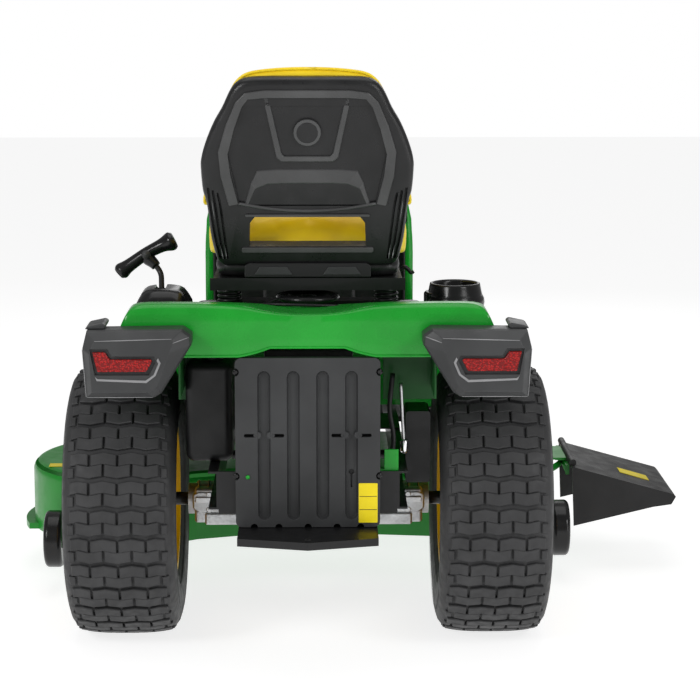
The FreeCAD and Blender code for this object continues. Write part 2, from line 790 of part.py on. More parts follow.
def hood_form(inset):
    """The hood's rounded form, as the overlap of its side, plan and end outlines."""
    n = str(inset)
    side = prism(
        "YZ",
        ("-400", "400"),
        [
            ("hood_y0-5", f"hood_z0-30-{n}"),
            (f"hood_y1-30-{n}", f"hood_z0-30-{n}"),
            (f"hood_y1-{n}", "hood_z0+60"),
            (f"hood_y1-{n}", "nose_z+70"),
            (f"hood_y1-24-{n}", f"hood_z1-160-{n}"),
            (f"hood_y1-80-{n}", f"hood_z1-108-{n}"),
            (f"hood_y1-220-{n}", f"hood_z1-62-{n}"),
            ("hood_y0+260", f"hood_z1-18-{n}"),
            ("hood_y0-5", f"hood_z1-{n}"),
        ],
    )
    plan_half = [
        (f"hood_w-{n}", "hood_y0-5"),
        (f"hood_w-10-{n}", "hood_y0+400"),
        (f"hood_w-32-{n}", "hood_y1-170"),
        (f"hood_w-66-{n}", f"hood_y1-70-{n}/2"),
        (f"hood_w-128-{n}", f"hood_y1-14-{n}"),
        ("hood_w-190", f"hood_y1-{n}"),
    ]
    plan = prism("XY", ("300", "1100"), mirror_points(plan_half))
    end_half = [
        (f"hood_w-{n}", "300"),
        (f"hood_w-{n}", "hood_z1-230"),
        (f"hood_w-14-{n}", "hood_z1-120"),
        (f"hood_w-44-{n}", f"hood_z1-42-{n}/2"),
        (f"hood_w-96-{n}", f"hood_z1-8-{n}"),
        ("hood_w-150", f"hood_z1-{n}"),
    ]
    end = prism("XZ", ("hood_y0", "hood_y1+10"), mirror_points(end_half))
    return common(side, plan, end)


def hood():
    shell = cut(hood_form(0), hood_form(5))
    rear_part = box(("-400", "400"), ("hood_y0-10", "hood_y1-150"), ("hood_z0", "1000"))
    front_part = box(("-400", "400"), ("hood_y1-150", "hood_y1+20"), ("nose_z", "1000"))
    eye = box(("62", "hood_w-70"), ("hood_y1-70", "hood_y1+20"), ("nose_z+28", "nose_z+92"))
    eye_space = box(("60", "hood_w-68"), ("hood_y1-72", "hood_y1+20"), ("nose_z+26", "nose_z+94"))
    upper = common(shell, fuse(rear_part, front_part))
    node("hood", cut(upper, eye_space, mirrored(eye_space)))
    chin = box(
        ("-400", "400"), ("hood_y1-150+gap", "hood_y1+20"), ("hood_z0-60", "nose_z-gap")
    )
    hinge = rod("X", "8", ("150", "hood_w-54"), ("hood_y1-118", "hood_z0-10"))
    grille = common(cut(hood_form(0), hood_form(7)), chin)
    node("grille", fuse(grille, hinge, mirrored(hinge)))
    node("headlights", both(common(cut(hood_form(1), hood_form(9)), eye)))


def engine():
    case = rod("Z", "112", ("402", "545"), ("0", "engine_y"))
    base = rounded(
        box(("-190", "190"), ("engine_y-130", "engine_y+110"), ("rail_z+rail_tall+gap", "412")),
        "12",
        runs_along("Z"),
    )
    banks = []
    for side in (-1, 1):
        barrel = [box(("-46", "46"), ("60", "205"), ("430", "540"))]
        barrel += [
            box(("-56", "56"), (f"{100 + 16 * k}", f"{106 + 16 * k}"), ("420", "550"))
            for k in range(6)
        ]
        bank = fuse(*barrel)
        bank.Placement.Rotation = Rotation(Vector(0, 0, 1), -side * 45)
        banks.append(move(bank, "0", "engine_y", "0"))
    shaft = rod("Z", "14", ("300", "405"), ("0", "engine_y"))
    node("engine_block", fuse(case, base, *banks, shaft))
    housing = rod("Z", "146", ("551", "640"), ("0", "engine_y"))
    screen = rod("Z", "104", ("640", "676"), ("0", "engine_y"))
    cleaner = rounded(box(("-96", "96"), ("engine_y-205", "engine_y-120"), ("590", "700")), "16")
    intake = box(("-40", "40"), ("engine_y-150", "engine_y-90"), ("600", "640"))
    shell = rounded(fuse(housing, screen), "10", lambda e: e.BoundBox.ZMin > value("600"))
    node("engine_shroud", fuse(shell, cleaner, intake))
    can = rounded(rod("X", "52", ("-140", "140"), ("hood_y1-118", "492")), "8")
    pipe = rod("Y", "14", ("engine_y+210", "hood_y1-140"), ("90", "480"))
    outlet = rod("Z", "16", ("380", "470"), ("110", "hood_y1-118"))
    node("muffler", fuse(can, pipe, outlet))


# ---------------------------------------------------------------- seat
def leaned(piece):
    """The piece leaned back about the seat back's foot."""
    whole = group(piece)
    whole.Placement.Rotation = Rotation(Vector(1, 0, 0), value("seat_lean"))
    lean = math.radians(value("seat_lean"))
    y = f"(-60)*(1-{math.cos(lean):.6f})+seat_z0*{math.sin(lean):.6f}"
    z = f"seat_z0*(1-{math.cos(lean):.6f})+60*{math.sin(lean):.6f}"
    return move(whole, "0", y, z)


def seat():
    plate = box(("-190", "190"), ("pan_y+3", "seat_hinge_y-4"), ("pan_z-3", "pan_z"))
    rear_edge = box(("-1*pan_w", "pan_w"), ("pan_y", "pan_y+3"), ("pan_z-25", "pan_z"))
    knuckle = prism(
        "YZ",
        ("138", "146"),
        [("296", "pan_z-2"), ("318", "734"), ("338", "732"), ("344", "742"), ("seat_hinge_y", "pan_z-2")],
    )
    pin = rod("X", "6", ("-165", "165"), ("seat_hinge_y", "seat_hinge_z"))
    node("seat_pan", fuse(plate, rear_edge, knuckle, mirrored(knuckle), pin))

    turns, wire_r = 5, 3.2
    low, high = f"spring_z+{wire_r}", f"pan_z-3-gap-{wire_r}"
    rings = []
    for turn in range(turns + 1):
        ring = doc.addObject("Part::Torus", "Ring")
        bind(ring, Radius1="22", Radius2=wire_r)
        height = f"({low})+(({high})-({low}))*{turn}/{turns}"
        rings.append(move(ring, "160", "-25", height))
    coil = group(*rings)
    node("seat_springs", both(coil))

    base = rounded(box(("-172", "172"), ("-78", "300"), ("pan_z+0.5", "seat_z0+6")), "12", runs_along("Z"))
    half = [
        ("0", "seat_z1"),
        ("seat_w-85", "seat_z1"),
        ("seat_w-58", "seat_z1-21"),
        ("seat_w-26", "seat_z1-82"),
        ("seat_w", "seat_z1-160"),
        ("seat_w-5", "seat_z1-228"),
        ("seat_w-16", "seat_z0+30"),
        ("seat_w-31", "seat_z0"),
        ("0", "seat_z0"),
    ]
    right = half[1:-1]
    outline = right + [(f"-1*({x})", z) for x, z in reversed(right)]
    back = prism("XZ", ("-60-back_t", "-60"), outline)
    window = box(
        ("-1*window_w", "window_w"), ("-140", "-10"), ("window_z0", "window_z1")
    )
    hollow = prism(
        "XZ",
        ("-54-back_t/2", "-60"),
        [
            ("seat_w-92", "seat_z1-14"),
            ("seat_w-42", "seat_z1-82"),
            ("seat_w-18", "seat_z1-160"),
            ("seat_w-24", "seat_z1-240"),
            ("24-seat_w", "seat_z1-240"),
            ("18-seat_w", "seat_z1-160"),
            ("42-seat_w", "seat_z1-82"),
            ("92-seat_w", "seat_z1-14"),
        ],
    )
    node("seat_shell", fuse(base, leaned(cut(back, hollow, window))))

    pad_half = [
        ("seat_w-84", "seat_z1-2"),
        ("seat_w-60", "seat_z1-20"),
        ("seat_w-28", "seat_z1-84"),
        ("seat_w-8", "seat_z1-160"),
        ("seat_w-14", "seat_z1-230"),
        ("seat_w-40", "window_z1+24"),
    ]
    pad = rounded(prism("XZ", ("-59", "-2"), mirror_points(pad_half)), "10", runs_along("Y"))
    node("back_cushion", leaned(pad))
    squab = rounded(box(("-196", "196"), ("-50", "352"), ("seat_z0+6.5", "window_z1-1")), "22")
    bolster = rounded(box(("150", "214"), ("12", "190"), ("seat_z0+26", "seat_z1-262")), "20")
    node("seat_cushion", fuse(squab, bolster, mirrored(bolster)))

    grip = rod("X", "4", ("140", "222"), ("90", "pan_z-9"))
    eye = rod("Z", "11", ("pan_z-13", "pan_z-4"), ("140", "90"))
    node("seat_lever", fuse(grip, eye))


# ---------------------------------------------------------------- wheels and axles
def tyre_profile(radius, width, bead, wall):
    """Half section of a tyre, as (along the axle, radius)."""
    half = f"({width})/2"
    outside = [
        (f"{half}-16", f"{bead}+gap"),
        (f"{half}-17", f"{bead}+12"),
        (f"{half}-6", f"{bead}+24"),
        (half, f"{bead}+0.45*({radius}-{bead})"),
        (f"{half}-3", f"{bead}+0.7*({radius}-{bead})"),
        (f"{half}-14", f"{radius}-12"),
        (f"{half}-36", radius),
    ]
    inside = [
        (f"{half}-36", f"{radius}-{wall}-2"),
        (f"{half}-19", f"{radius}-12-{wall}"),
        (f"{half}-3-{wall}", f"{bead}+0.66*({radius}-{bead})"),
        (f"{half}-{wall}", f"{bead}+0.45*({radius}-{bead})"),
        (f"{half}-10-{wall}", f"{bead}+22"),
        (f"{half}-16-{wall}", f"{bead}+gap"),
    ]
    far_outside, far_inside = ([(f"-1*({a})", r) for a, r in reversed(side)] for side in (outside, inside))
    return outside + far_outside + far_inside + inside


def rear_wheels():
    x = "rear_track/2"
    tyre = turned("X", tyre_profile("rear_r", "rear_w", "rear_bead", "9"), (x, "0", "rear_r"))
    seat_w = "(rear_w/2-16)"
    rim = turned(
        "X",
        [
            ("-34", "axle_r+gap/3"),
            ("46", "axle_r+gap/3"),
            ("46", "34"),
            ("12", "48"),
            ("12", "110"),
            ("34", "rear_bead-12"),
            (f"{seat_w}+2", "rear_bead-3"),
            (f"{seat_w}+2", "rear_bead+11"),
            (f"{seat_w}+0.4", "rear_bead+11"),
            (f"{seat_w}+0.4", "rear_bead"),
            (f"-1*{seat_w}-0.4", "rear_bead"),
            (f"-1*{seat_w}-0.4", "rear_bead+11"),
            (f"-1*{seat_w}-2", "rear_bead+11"),
            (f"-1*{seat_w}-2", "rear_bead-3"),
            ("24", "rear_bead-6"),
            ("6", "112"),
            ("6", "50"),
            ("-34", "36"),
        ],
        (x, "0", "rear_r"),
    )
    shaft = rod("X", "axle_r", ("122", f"{x}+54"), ("0", "rear_r"))
    pair("rear_tyre", tyre)
    pair("rear_rim", group(rim, shaft))


def front_end():
    beam = box(("14-kingpin_x", "kingpin_x-14"), ("wheelbase-20", "wheelbase+20"), ("206", "250"))
    beam = rounded(beam, "4", runs_along("X"))
    boss = rod("Y", "26", ("wheelbase-41.5", "wheelbase+41.5"), ("0", "axle_z"))
    pin = rod("Y", "kingpin_r", ("wheelbase-56", "wheelbase+56"), ("0", "axle_z"))
    collar = rod("Z", "20", ("206", "256"), ("kingpin_x", "wheelbase"))
    hole = rod("Z", "kingpin_r+gap", ("190", "270"), ("kingpin_x", "wheelbase"))
    solid = fuse(beam, boss, pin, collar, mirrored(collar))
    node("front_axle", cut(solid, hole, mirrored(hole)))

    kingpin = rod("Z", "kingpin_r", ("180", "266"), ("kingpin_x", "wheelbase"))
    block = rounded(
        box(("kingpin_x-18", "kingpin_x+18"), ("wheelbase-18", "wheelbase+18"), ("174", "205")), "3"
    )
    stub = rod("X", "10", ("kingpin_x+10", "front_track/2+66"), ("wheelbase", "front_r"))
    arm = box(
        ("kingpin_x-11", "kingpin_x+11"), ("wheelbase-arm_l-11", "wheelbase-10"), ("174", "184")
    )
    ball = rod("Z", "6", ("tie_z-10", "176"), ("kingpin_x", "wheelbase-arm_l"))
    pair("spindle", fuse(kingpin, block, stub, arm, ball))

    bar = rod("X", "7", ("10-kingpin_x", "kingpin_x-10"), ("wheelbase-arm_l", "tie_z"))
    end = rod("Z", "14", ("tie_z-8", "tie_z+8"), ("kingpin_x", "wheelbase-arm_l"))
    seat_hole = rod("Z", "6+2*gap", ("tie_z-12", "tie_z+12"), ("kingpin_x", "wheelbase-arm_l"))
    rod_with_ends = fuse(bar, end, mirrored(end))
    node("tie_rod", cut(rod_with_ends, seat_hole, mirrored(seat_hole)))

    x = "front_track/2"
    place = (x, "wheelbase", "front_r")
    seat_w = "(front_w/2-16)"
    pair("front_tyre", turned("X", tyre_profile("front_r", "front_w", "front_bead", "7"), place))
    pair(
        "front_rim",
        turned(
            "X",
            [
                ("-48", "10+gap"),
                ("58", "10+gap"),
                ("58", "20"),
                ("38", "24"),
                ("34", "58"),
                (f"{seat_w}-4", "front_bead-5"),
                (f"{seat_w}+2", "front_bead-4"),
                (f"{seat_w}+2", "front_bead+8"),
                (f"{seat_w}+0.4", "front_bead+8"),
                (f"{seat_w}+0.4", "front_bead"),
                (f"-1*{seat_w}-0.4", "front_bead"),
                (f"-1*{seat_w}-0.4", "front_bead+8"),
                (f"-1*{seat_w}-2", "front_bead+8"),
                (f"-1*{seat_w}-2", "front_bead-4"),
                ("34", "front_bead-7"),
                ("28", "56"),
                ("28", "24"),
                ("-48", "22"),
            ],
            place,
        ),
    )


# ---------------------------------------------------------------- mower deck
LOBES = (
    ("left", "(deck_x-lobe_x)", "lobe_y", "lobe_r_left"),
    ("center", "deck_x", "lobe_y_mid", "lobe_r"),
    ("right", "(deck_x+lobe_x)", "lobe_y_right", "lobe_r"),
)


def deck_form(inset, top):
    """The deck's plan, three lobes and the web between them, as a solid."""
    n = str(inset)
    lobes = [rod("Z", f"{r}-{n}", ("deck_z0", top), (x, y)) for _, x, y, r in LOBES]
    web = prism(
        "XY",
        ("deck_z0", top),
        [
            ("deck_x-lobe_x", f"lobe_y-lobe_r_left+{n}"),
            ("deck_x-90", f"lobe_y_mid-lobe_r+{n}"),
            ("deck_x+90", f"lobe_y_mid-lobe_r+{n}"),
            ("deck_x+lobe_x", f"lobe_y_right-lobe_r+{n}"),
            ("deck_x+lobe_x", f"lobe_y_right+lobe_r-{n}"),
            ("deck_x", f"lobe_y_mid+lobe_r-{n}"),
            ("deck_x-lobe_x", f"lobe_y+lobe_r_left-{n}"),
        ],
    )
    return fuse(web, *lobes)


def mower_deck():
    outer = rounded(
        deck_form(0, "deck_z1"), "24", lambda edge: edge.BoundBox.ZMin > value("deck_z1-1")
    )
    inner = deck_form(4, "deck_z1-4")
    lip = cut(
        rod("Z", "lobe_r_left+20", ("deck_z0", "deck_z0+14"), ("deck_x-lobe_x", "lobe_y")),
        rod("Z", "lobe_r_left-2", ("deck_z0-1", "deck_z0+20"), ("deck_x-lobe_x", "lobe_y")),
        box(("deck_x-lobe_x-40", "0"), ("0", "1000"), ("deck_z0-1", "deck_z1")),
        box(("deck_x-lobe_x-400", "0"), ("0", "lobe_y-90"), ("deck_z0-1", "deck_z1")),
    )
    discharge = box(
        ("deck_x+lobe_x+90", "chute_x+40"), ("chute_y0+50", "chute_y1-40"), ("deck_z0+14", "deck_z1-26")
    )
    holes = [rod("Z", "shaft_r+2", ("deck_z0", "deck_z1+60"), (x, y)) for _, x, y, _ in LOBES]
    housings = [rod("Z", "36", ("deck_z1-6", "deck_z1+16"), (x, y)) for _, x, y, _ in LOBES]
    flat = box(("chute_x-8", "chute_x"), ("chute_y0+40", "chute_y1-30"), ("deck_z1-30", "chute_z-14"))
    shelf = box(
        ("deck_x+lobe_x+150", "chute_x-3"), ("chute_y0+80", "chute_y1-80"), ("deck_z1-5", "deck_z1+1")
    )
    wheel_stays = []
    for x, y, inward in (
        ("gauge_left_x", "gauge_left_y", "1"),
        ("gauge_right_x", "gauge_right_y", "-1"),
    ):
        face = f"{x}+{inward}*(gauge_w/2+4)"
        stay = box((f"{face}-3", f"{face}+3"), (f"{y}-22", f"{y}+98"), ("gauge_z-16", "gauge_z+30"))
        ends = (f"{x}-gauge_w/2-2", face) if inward == "1" else (face, f"{x}+gauge_w/2+2")
        wheel_stays += [stay, rod("X", "8", ends, (y, "gauge_z"))]
    hanger = prism(
        "YZ",
        ("130", "136"),
        [
            ("lift_y+lift_arm+4", "deck_z1-3"),
            ("lift_y+lift_arm+60", "deck_z1-3"),
            ("lift_y+lift_arm+22", "lift_z-lift_drop+24"),
            ("lift_y+lift_arm-22", "lift_z-lift_drop+24"),
            ("lift_y+lift_arm-22", "lift_z-lift_drop-22"),
        ],
        [("lift_y+lift_arm", "lift_z-lift_drop", "11")],
    )
    shell = cut(fuse(outer, lip, *housings, flat, shelf), inner, discharge, *holes)
    node("mower_deck", fuse(shell, *wheel_stays, hanger, mirrored(hanger)))

    covers = []
    for _, x, y, _ in (LOBES[0], LOBES[2]):
        drum = rounded(
            rod("Z", "104", ("deck_z1+gap", "deck_z1+41"), (x, y)),
            "10",
            lambda edge: edge.BoundBox.ZMin > value("deck_z1+35"),
        )
        covers.append(cut(drum, rod("Z", "100", ("deck_z1-1", "deck_z1+37"), (x, y))))
    node("belt_covers", group(*covers))

    for side, x, y, _ in LOBES:
        bar = box((f"{x}-blade_r", f"{x}+blade_r"), (f"{y}-29", f"{y}+29"), ("deck_z0+20", "deck_z0+24"))
        washer = rod("Z", "28", ("deck_z0+14", "deck_z0+36"), (x, y))
        shaft = rod("Z", "shaft_r", ("deck_z0+10", "deck_z1+34"), (x, y))
        pulley = rounded(rod("Z", "66", ("deck_z1+18", "deck_z1+32"), (x, y)), "3")
        node("blade_" + side, fuse(bar, washer, shaft, pulley))

    wall = prism(
        "XZ",
        ("chute_y0", "chute_y1"),
        [
            ("chute_x+2", "chute_z-9"),
            ("chute_x1-6", "chute_z-74"),
            ("chute_x1", "chute_z-80"),
            ("chute_x1-10", "chute_z-98"),
            ("chute_x1-52", "chute_z-104"),
            ("chute_x+8", "chute_z-148"),
        ],
    )
    room = prism(
        "XZ",
        ("chute_y0+5", "chute_y1-5"),
        [
            ("chute_x-10", "chute_z-12"),
            ("chute_x1-12", "chute_z-79"),
            ("chute_x1-16", "chute_z-160"),
            ("chute_x-10", "chute_z-160"),
        ],
    )
    tube = rod("Y", "8", ("chute_y0+20", "chute_y1-20"), ("chute_x+6", "chute_z-4"))
    node("discharge_chute", fuse(cut(wall, room), tube))

    for side in ("left", "right"):
        wheel = rounded(rod("X", "gauge_r", ("-1*gauge_w/2", "gauge_w/2"), ("0", "0")), "10")
        bore = rod("X", "8+gap", ("-30", "30"), ("0", "0"))
        roller = cut(wheel, bore)
        node(
            f"gauge_wheel_{side}",
            move(roller, f"gauge_{side}_x", f"gauge_{side}_y", "gauge_z"),
        )


# ---------------------------------------------------------------- controls
def controls():
    hub = rod("X", "8", ("lever_x-22", "lever_x+22"), ("lever_y", "lever_z"))
    low = ("lever_x", "lever_y", "lever_z")
    bend = ("lever_x", "lever_y+56", "lever_z+122")
    head = ("lever_x-31", "lever_y+70", "lever_z+154")
    stem = strut("6", low, bend)
    neck = strut("6", bend, head)
    socket = strut(
        "13", ("lever_x-16", "lever_y+63", "lever_z+138"), ("lever_x-34", "lever_y+71", "lever_z+158")
    )
    grip = strut(
        "14", ("lever_x-88", "lever_y+70", "lever_z+126"), ("lever_x+18", "lever_y+70", "lever_z+188")
    )
    ends = []
    for radius, x0, z0, x1, z1 in (("18", -93, 123, -84, 128), ("22", 14, 186, 23, 191)):
        start = (f"lever_x+({x0})", "lever_y+70", f"lever_z+{z0}")
        end = (f"lever_x+({x1})", "lever_y+70", f"lever_z+{z1}")
        ends.append(strut(radius, start, end))
    node("lift_lever", fuse(hub, stem, neck, socket, grip, *ends))

    shaft = rod("X", "10", ("-172", "172"), ("lift_y", "lift_z"))
    arm = strut(
        "8", ("146", "lift_y", "lift_z"), ("146", "lift_y+lift_arm", "lift_z-lift_drop")
    )
    pin = rod("X", "6", ("122", "152"), ("lift_y+lift_arm", "lift_z-lift_drop"))
    node("lift_arms", fuse(shaft, arm, mirrored(arm), pin, mirrored(pin)))

    for name, x0, x1 in (
        ("brake_pedal", "-360", "-272"),
        ("reverse_pedal", "266", "330"),
        ("forward_pedal", "340", "410"),
    ):
        middle = f"(({x0})+({x1}))/2"
        barrel = rod("X", "10", (f"{middle}-22", f"{middle}+22"), ("pedal_y", "pedal_z"))
        arm = prism(
            "YZ",
            (f"{middle}-5", f"{middle}+5"),
            [
                ("pedal_y-8", "pedal_z"),
                ("pedal_y+8", "pedal_z-6"),
                ("pedal_y+56", "pedal_z+70"),
                ("pedal_y+44", "pedal_z+76"),
            ],
        )
        pad = prism(
            "YZ",
            (x0, x1),
            [
                ("pedal_y+22", "pedal_z+62"),
                ("pedal_y+28", "pedal_z+54"),
                ("pedal_y+78", "pedal_z+92"),
                ("pedal_y+72", "pedal_z+100"),
            ],
        )
        node(name, fuse(barrel, arm, pad))

    slope = Rotation(Vector(1, 0, 0), 18)
    stem = rod("Z", "4", ("0", "78"), ("0", "0"))
    hub = rod("X", "5", ("-6", "6"), ("0", "0"))
    ball = rounded(rod("Z", "11", ("70", "92"), ("0", "0")), "5")
    throttle = fuse(stem, hub, ball)
    throttle.Placement.Rotation = slope
    node("throttle_lever", move(throttle, "throttle_x", "694", "888"))
    button = rounded(rod("Z", "19", ("12", "30"), ("0", "0")), "4")
    knob = fuse(rod("Z", "4.5", ("-8", "14"), ("0", "0")), button)
    node("pto_knob", move(knob, "pto_x", "672", "902"))
    key = fuse(rod("Z", "5", ("1", "14"), ("0", "0")), box(("-9", "9"), ("-3", "3"), ("12", "34")))
    key.Placement.Rotation = slope
    node("ignition_key", move(key, "110", "660", "898"))


def write_parts():
    """Checks every object and sub-part, then writes one STEP file for each sub-part."""
    doc.recompute()
    bad = [o.Name + " " + o.Label for o in doc.Objects if {"Invalid", "Error"} & set(o.State)]
    if bad:
        raise SystemExit(f"failed to recompute: {bad}")
    for whole in NODES:
        shape = whole.Shape
        if shape.isNull() or not shape.isValid() or not shape.Solids:
            raise SystemExit(f"{whole.Label} has no valid solid")
    os.makedirs("parts", exist_ok=True)
    low, high = Vector(1e9, 1e9, 1e9), Vector(-1e9, -1e9, -1e9)
    for whole in NODES:
        whole.Shape.exportStep(f"parts/{whole.Label}.step")
        size = whole.Shape.BoundBox
        low = Vector(*(min(a, b) for a, b in zip(low, (size.XMin, size.YMin, size.ZMin))))
        high = Vector(*(max(a, b) for a, b in zip(high, (size.XMax, size.YMax, size.ZMax))))
    print(len(NODES), "nodes, from", low, "to", high)


frame()
rear_cover()
transaxle()
fender()
light_pods()
fender_fittings()
dash_and_steering()
hood()
engine()
seat()
rear_wheels()
front_end()
mower_deck()
controls()
write_parts()
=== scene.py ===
"""Looks for the riding lawn mower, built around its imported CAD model.

Shapes are worked out in the machine's own axes, in millimetres: X to the machine's right, Y forward
from the rear axle, Z up from the ground. place() turns them into the row frame's metres.
"""

import math

import bmesh
import bpy
import numpy as np
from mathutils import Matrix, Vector


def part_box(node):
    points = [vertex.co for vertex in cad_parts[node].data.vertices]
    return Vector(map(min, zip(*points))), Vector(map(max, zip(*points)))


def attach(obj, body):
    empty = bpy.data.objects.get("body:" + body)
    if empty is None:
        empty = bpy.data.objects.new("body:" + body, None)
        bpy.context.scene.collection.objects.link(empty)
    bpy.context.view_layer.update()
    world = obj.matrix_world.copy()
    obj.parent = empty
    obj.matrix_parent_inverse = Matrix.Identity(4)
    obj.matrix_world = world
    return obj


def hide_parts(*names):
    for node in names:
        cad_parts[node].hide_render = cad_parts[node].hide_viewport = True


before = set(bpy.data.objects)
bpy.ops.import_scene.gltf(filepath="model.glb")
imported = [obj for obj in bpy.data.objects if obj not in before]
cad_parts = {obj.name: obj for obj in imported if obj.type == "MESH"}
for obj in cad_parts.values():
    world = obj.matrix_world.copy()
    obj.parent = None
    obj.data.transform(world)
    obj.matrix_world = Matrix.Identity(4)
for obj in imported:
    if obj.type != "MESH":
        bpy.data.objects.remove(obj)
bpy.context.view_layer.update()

# ---------------------------------------------------------------- the machine's axes in the row frame
MM = 0.001
REAR_AXLE_Z = 279
FRONT_AXLE_Z = 190
WHEELBASE = 1250
LEFT_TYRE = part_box("rear_tyre_left")
RIGHT_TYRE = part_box("rear_tyre_right")
MID_X = (LEFT_TYRE[0].x + RIGHT_TYRE[1].x) / 2
AXLE_Y = (RIGHT_TYRE[0].y + RIGHT_TYRE[1].y) / 2


def place(point):
    """A point in the machine's millimetres as a point of the row frame."""
    return Vector((MID_X + point[0] * MM, AXLE_Y + point[1] * MM, point[2] * MM))


def span(node):
    """A CAD node's box in the machine's millimetres: (x0, x1), (y0, y1), (z0, z1)."""
    low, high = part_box(node)
    shift = (MID_X, AXLE_Y, 0.0)
    return [((low[i] - shift[i]) / MM, (high[i] - shift[i]) / MM) for i in range(3)]


# ---------------------------------------------------------------- materials
GREEN = (0.008, 0.30, 0.022)
# Painted shade: the body green darkened to about a quarter, for the wheel wells that sit in the fender's
# shadow.
WELL_SHADE_GREEN = (0.002, 0.075, 0.008)
YELLOW = (1.0, 0.70, 0.004)
RIM_YELLOW = (0.86, 0.53, 0.0)
BLACK = (0.007, 0.007, 0.0075)
GRAPHITE = (0.032, 0.033, 0.034)


class Nodes:
    """A material's node tree, with short ways to add and link nodes."""

    def __init__(self, name):
        self.material = bpy.data.materials.new(name)
        self.material.use_nodes = True
        self.tree = self.material.node_tree
        self.shader = self.tree.nodes["Principled BSDF"]
        self.coords = self.add("ShaderNodeTexCoord").outputs["Object"]

    def add(self, kind, **settings):
        node = self.tree.nodes.new(kind)
        for key, value in settings.items():
            if hasattr(node, key):
                setattr(node, key, value)
            else:
                node.inputs[key.replace("_", " ")].default_value = value
        return node

    def link(self, source, target):
        self.tree.links.new(source, target)

    def noise(self, scale, detail=3.0, roughness=0.5, stretch=None):
        texture = self.add("ShaderNodeTexNoise", Scale=scale, Detail=detail, Roughness=roughness)
        source = self.coords
        if stretch:
            mapping = self.add("ShaderNodeMapping")
            mapping.inputs["Scale"].default_value = stretch
            self.link(source, mapping.inputs["Vector"])
            source = mapping.outputs["Vector"]
        self.link(source, texture.inputs["Vector"])
        return texture.outputs["Fac"]

    def ramp(self, source, low, high, start=0.35, end=0.65):
        """The source stretched so that start gives low and end gives high."""
        node = self.add("ShaderNodeMapRange")
        for name, value in zip(("From Min", "From Max", "To Min", "To Max"), (start, end, low, high)):
            node.inputs[name].default_value = value
        self.link(source, node.inputs["Value"])
        return node.outputs["Result"]

    def mix(self, factor, first, second):
        node = self.add("ShaderNodeMix", data_type="RGBA")
        node.inputs["A"].default_value = (*first, 1)
        node.inputs["B"].default_value = (*second, 1)
        self.link(factor, node.inputs["Factor"])
        return node.outputs["Result"]

    def bump(self, height, distance, strength=1.0, normal=None):
        node = self.add("ShaderNodeBump")
        node.inputs["Distance"].default_value = distance
        node.inputs["Strength"].default_value = strength
        self.link(height, node.inputs["Height"])
        if normal:
            self.link(normal, node.inputs["Normal"])
        return node.outputs["Normal"]

    def set(self, **sockets):
        for key, value in sockets.items():
            self.shader.inputs[key.replace("_", " ")].default_value = value


def shade(colour, factor):
    return tuple(min(1.0, c * factor) for c in colour)


def paint(name, colour, roughness=0.22):
    """Gloss powder coat: a little orange peel, dust in the colour and a clear coat."""
    n = Nodes(name)
    tone = n.ramp(n.noise(9.0, 4.0), 0.0, 1.0)
    n.link(n.mix(tone, shade(colour, 0.88), shade(colour, 1.08)), n.shader.inputs["Base Color"])
    n.link(n.ramp(n.noise(34.0, 5.0), roughness, roughness + 0.12), n.shader.inputs["Roughness"])
    n.link(n.bump(n.noise(420.0, 2.0), 0.00012, 0.5), n.shader.inputs["Normal"])
    n.set(Coat_Weight=0.12, Coat_Roughness=0.06, Specular_IOR_Level=0.32)
    return n.material


def plastic(name, colour, roughness, grain=900.0, depth=0.00025):
    """Moulded plastic with a leather-like grain and slightly uneven sheen."""
    n = Nodes(name)
    tone = n.ramp(n.noise(7.0, 5.0), 0.0, 1.0)
    n.link(n.mix(tone, shade(colour, 0.8), shade(colour, 1.25)), n.shader.inputs["Base Color"])
    n.link(n.ramp(n.noise(26.0, 6.0), roughness - 0.06, roughness + 0.1), n.shader.inputs["Roughness"])
    cells = n.add("ShaderNodeTexVoronoi", feature="SMOOTH_F1", Scale=grain, Smoothness=0.6)
    n.link(n.coords, cells.inputs["Vector"])
    n.link(n.bump(cells.outputs["Distance"], depth, 0.6), n.shader.inputs["Normal"])
    n.set(Specular_IOR_Level=0.36)
    return n.material


def rubber(name, colour):
    """Tyre rubber: matte, finely pitted, with a dusty bloom in broad patches."""
    n = Nodes(name)
    bloom = n.ramp(n.noise(11.0, 8.0, 0.65), 0.0, 1.0, 0.4, 0.7)
    n.link(n.mix(bloom, colour, shade(colour, 1.5)), n.shader.inputs["Base Color"])
    n.link(n.ramp(n.noise(60.0, 5.0), 0.5, 0.72), n.shader.inputs["Roughness"])
    fine = n.bump(n.noise(1400.0, 3.0), 0.0002, 0.4)
    n.link(n.bump(n.noise(160.0, 4.0), 0.0004, 0.35, fine), n.shader.inputs["Normal"])
    n.set(Specular_IOR_Level=0.4)
    return n.material


def vinyl(name, colour):
    """Seat vinyl with a pebbled leather grain and a soft sheen."""
    n = Nodes(name)
    tone = n.ramp(n.noise(14.0, 5.0), 0.0, 1.0)
    n.link(n.mix(tone, shade(colour, 0.9), shade(colour, 1.06)), n.shader.inputs["Base Color"])
    n.link(n.ramp(n.noise(50.0, 4.0), 0.38, 0.5), n.shader.inputs["Roughness"])
    pebbles = n.add("ShaderNodeTexVoronoi", feature="F1", Scale=520.0)
    n.link(n.coords, pebbles.inputs["Vector"])
    creases = n.bump(n.noise(95.0, 6.0), 0.0005, 0.3)
    n.link(n.bump(pebbles.outputs["Distance"], 0.0003, 0.6, creases), n.shader.inputs["Normal"])
    n.set(Coat_Weight=0.15, Coat_Roughness=0.4, Sheen_Weight=0.1)
    return n.material


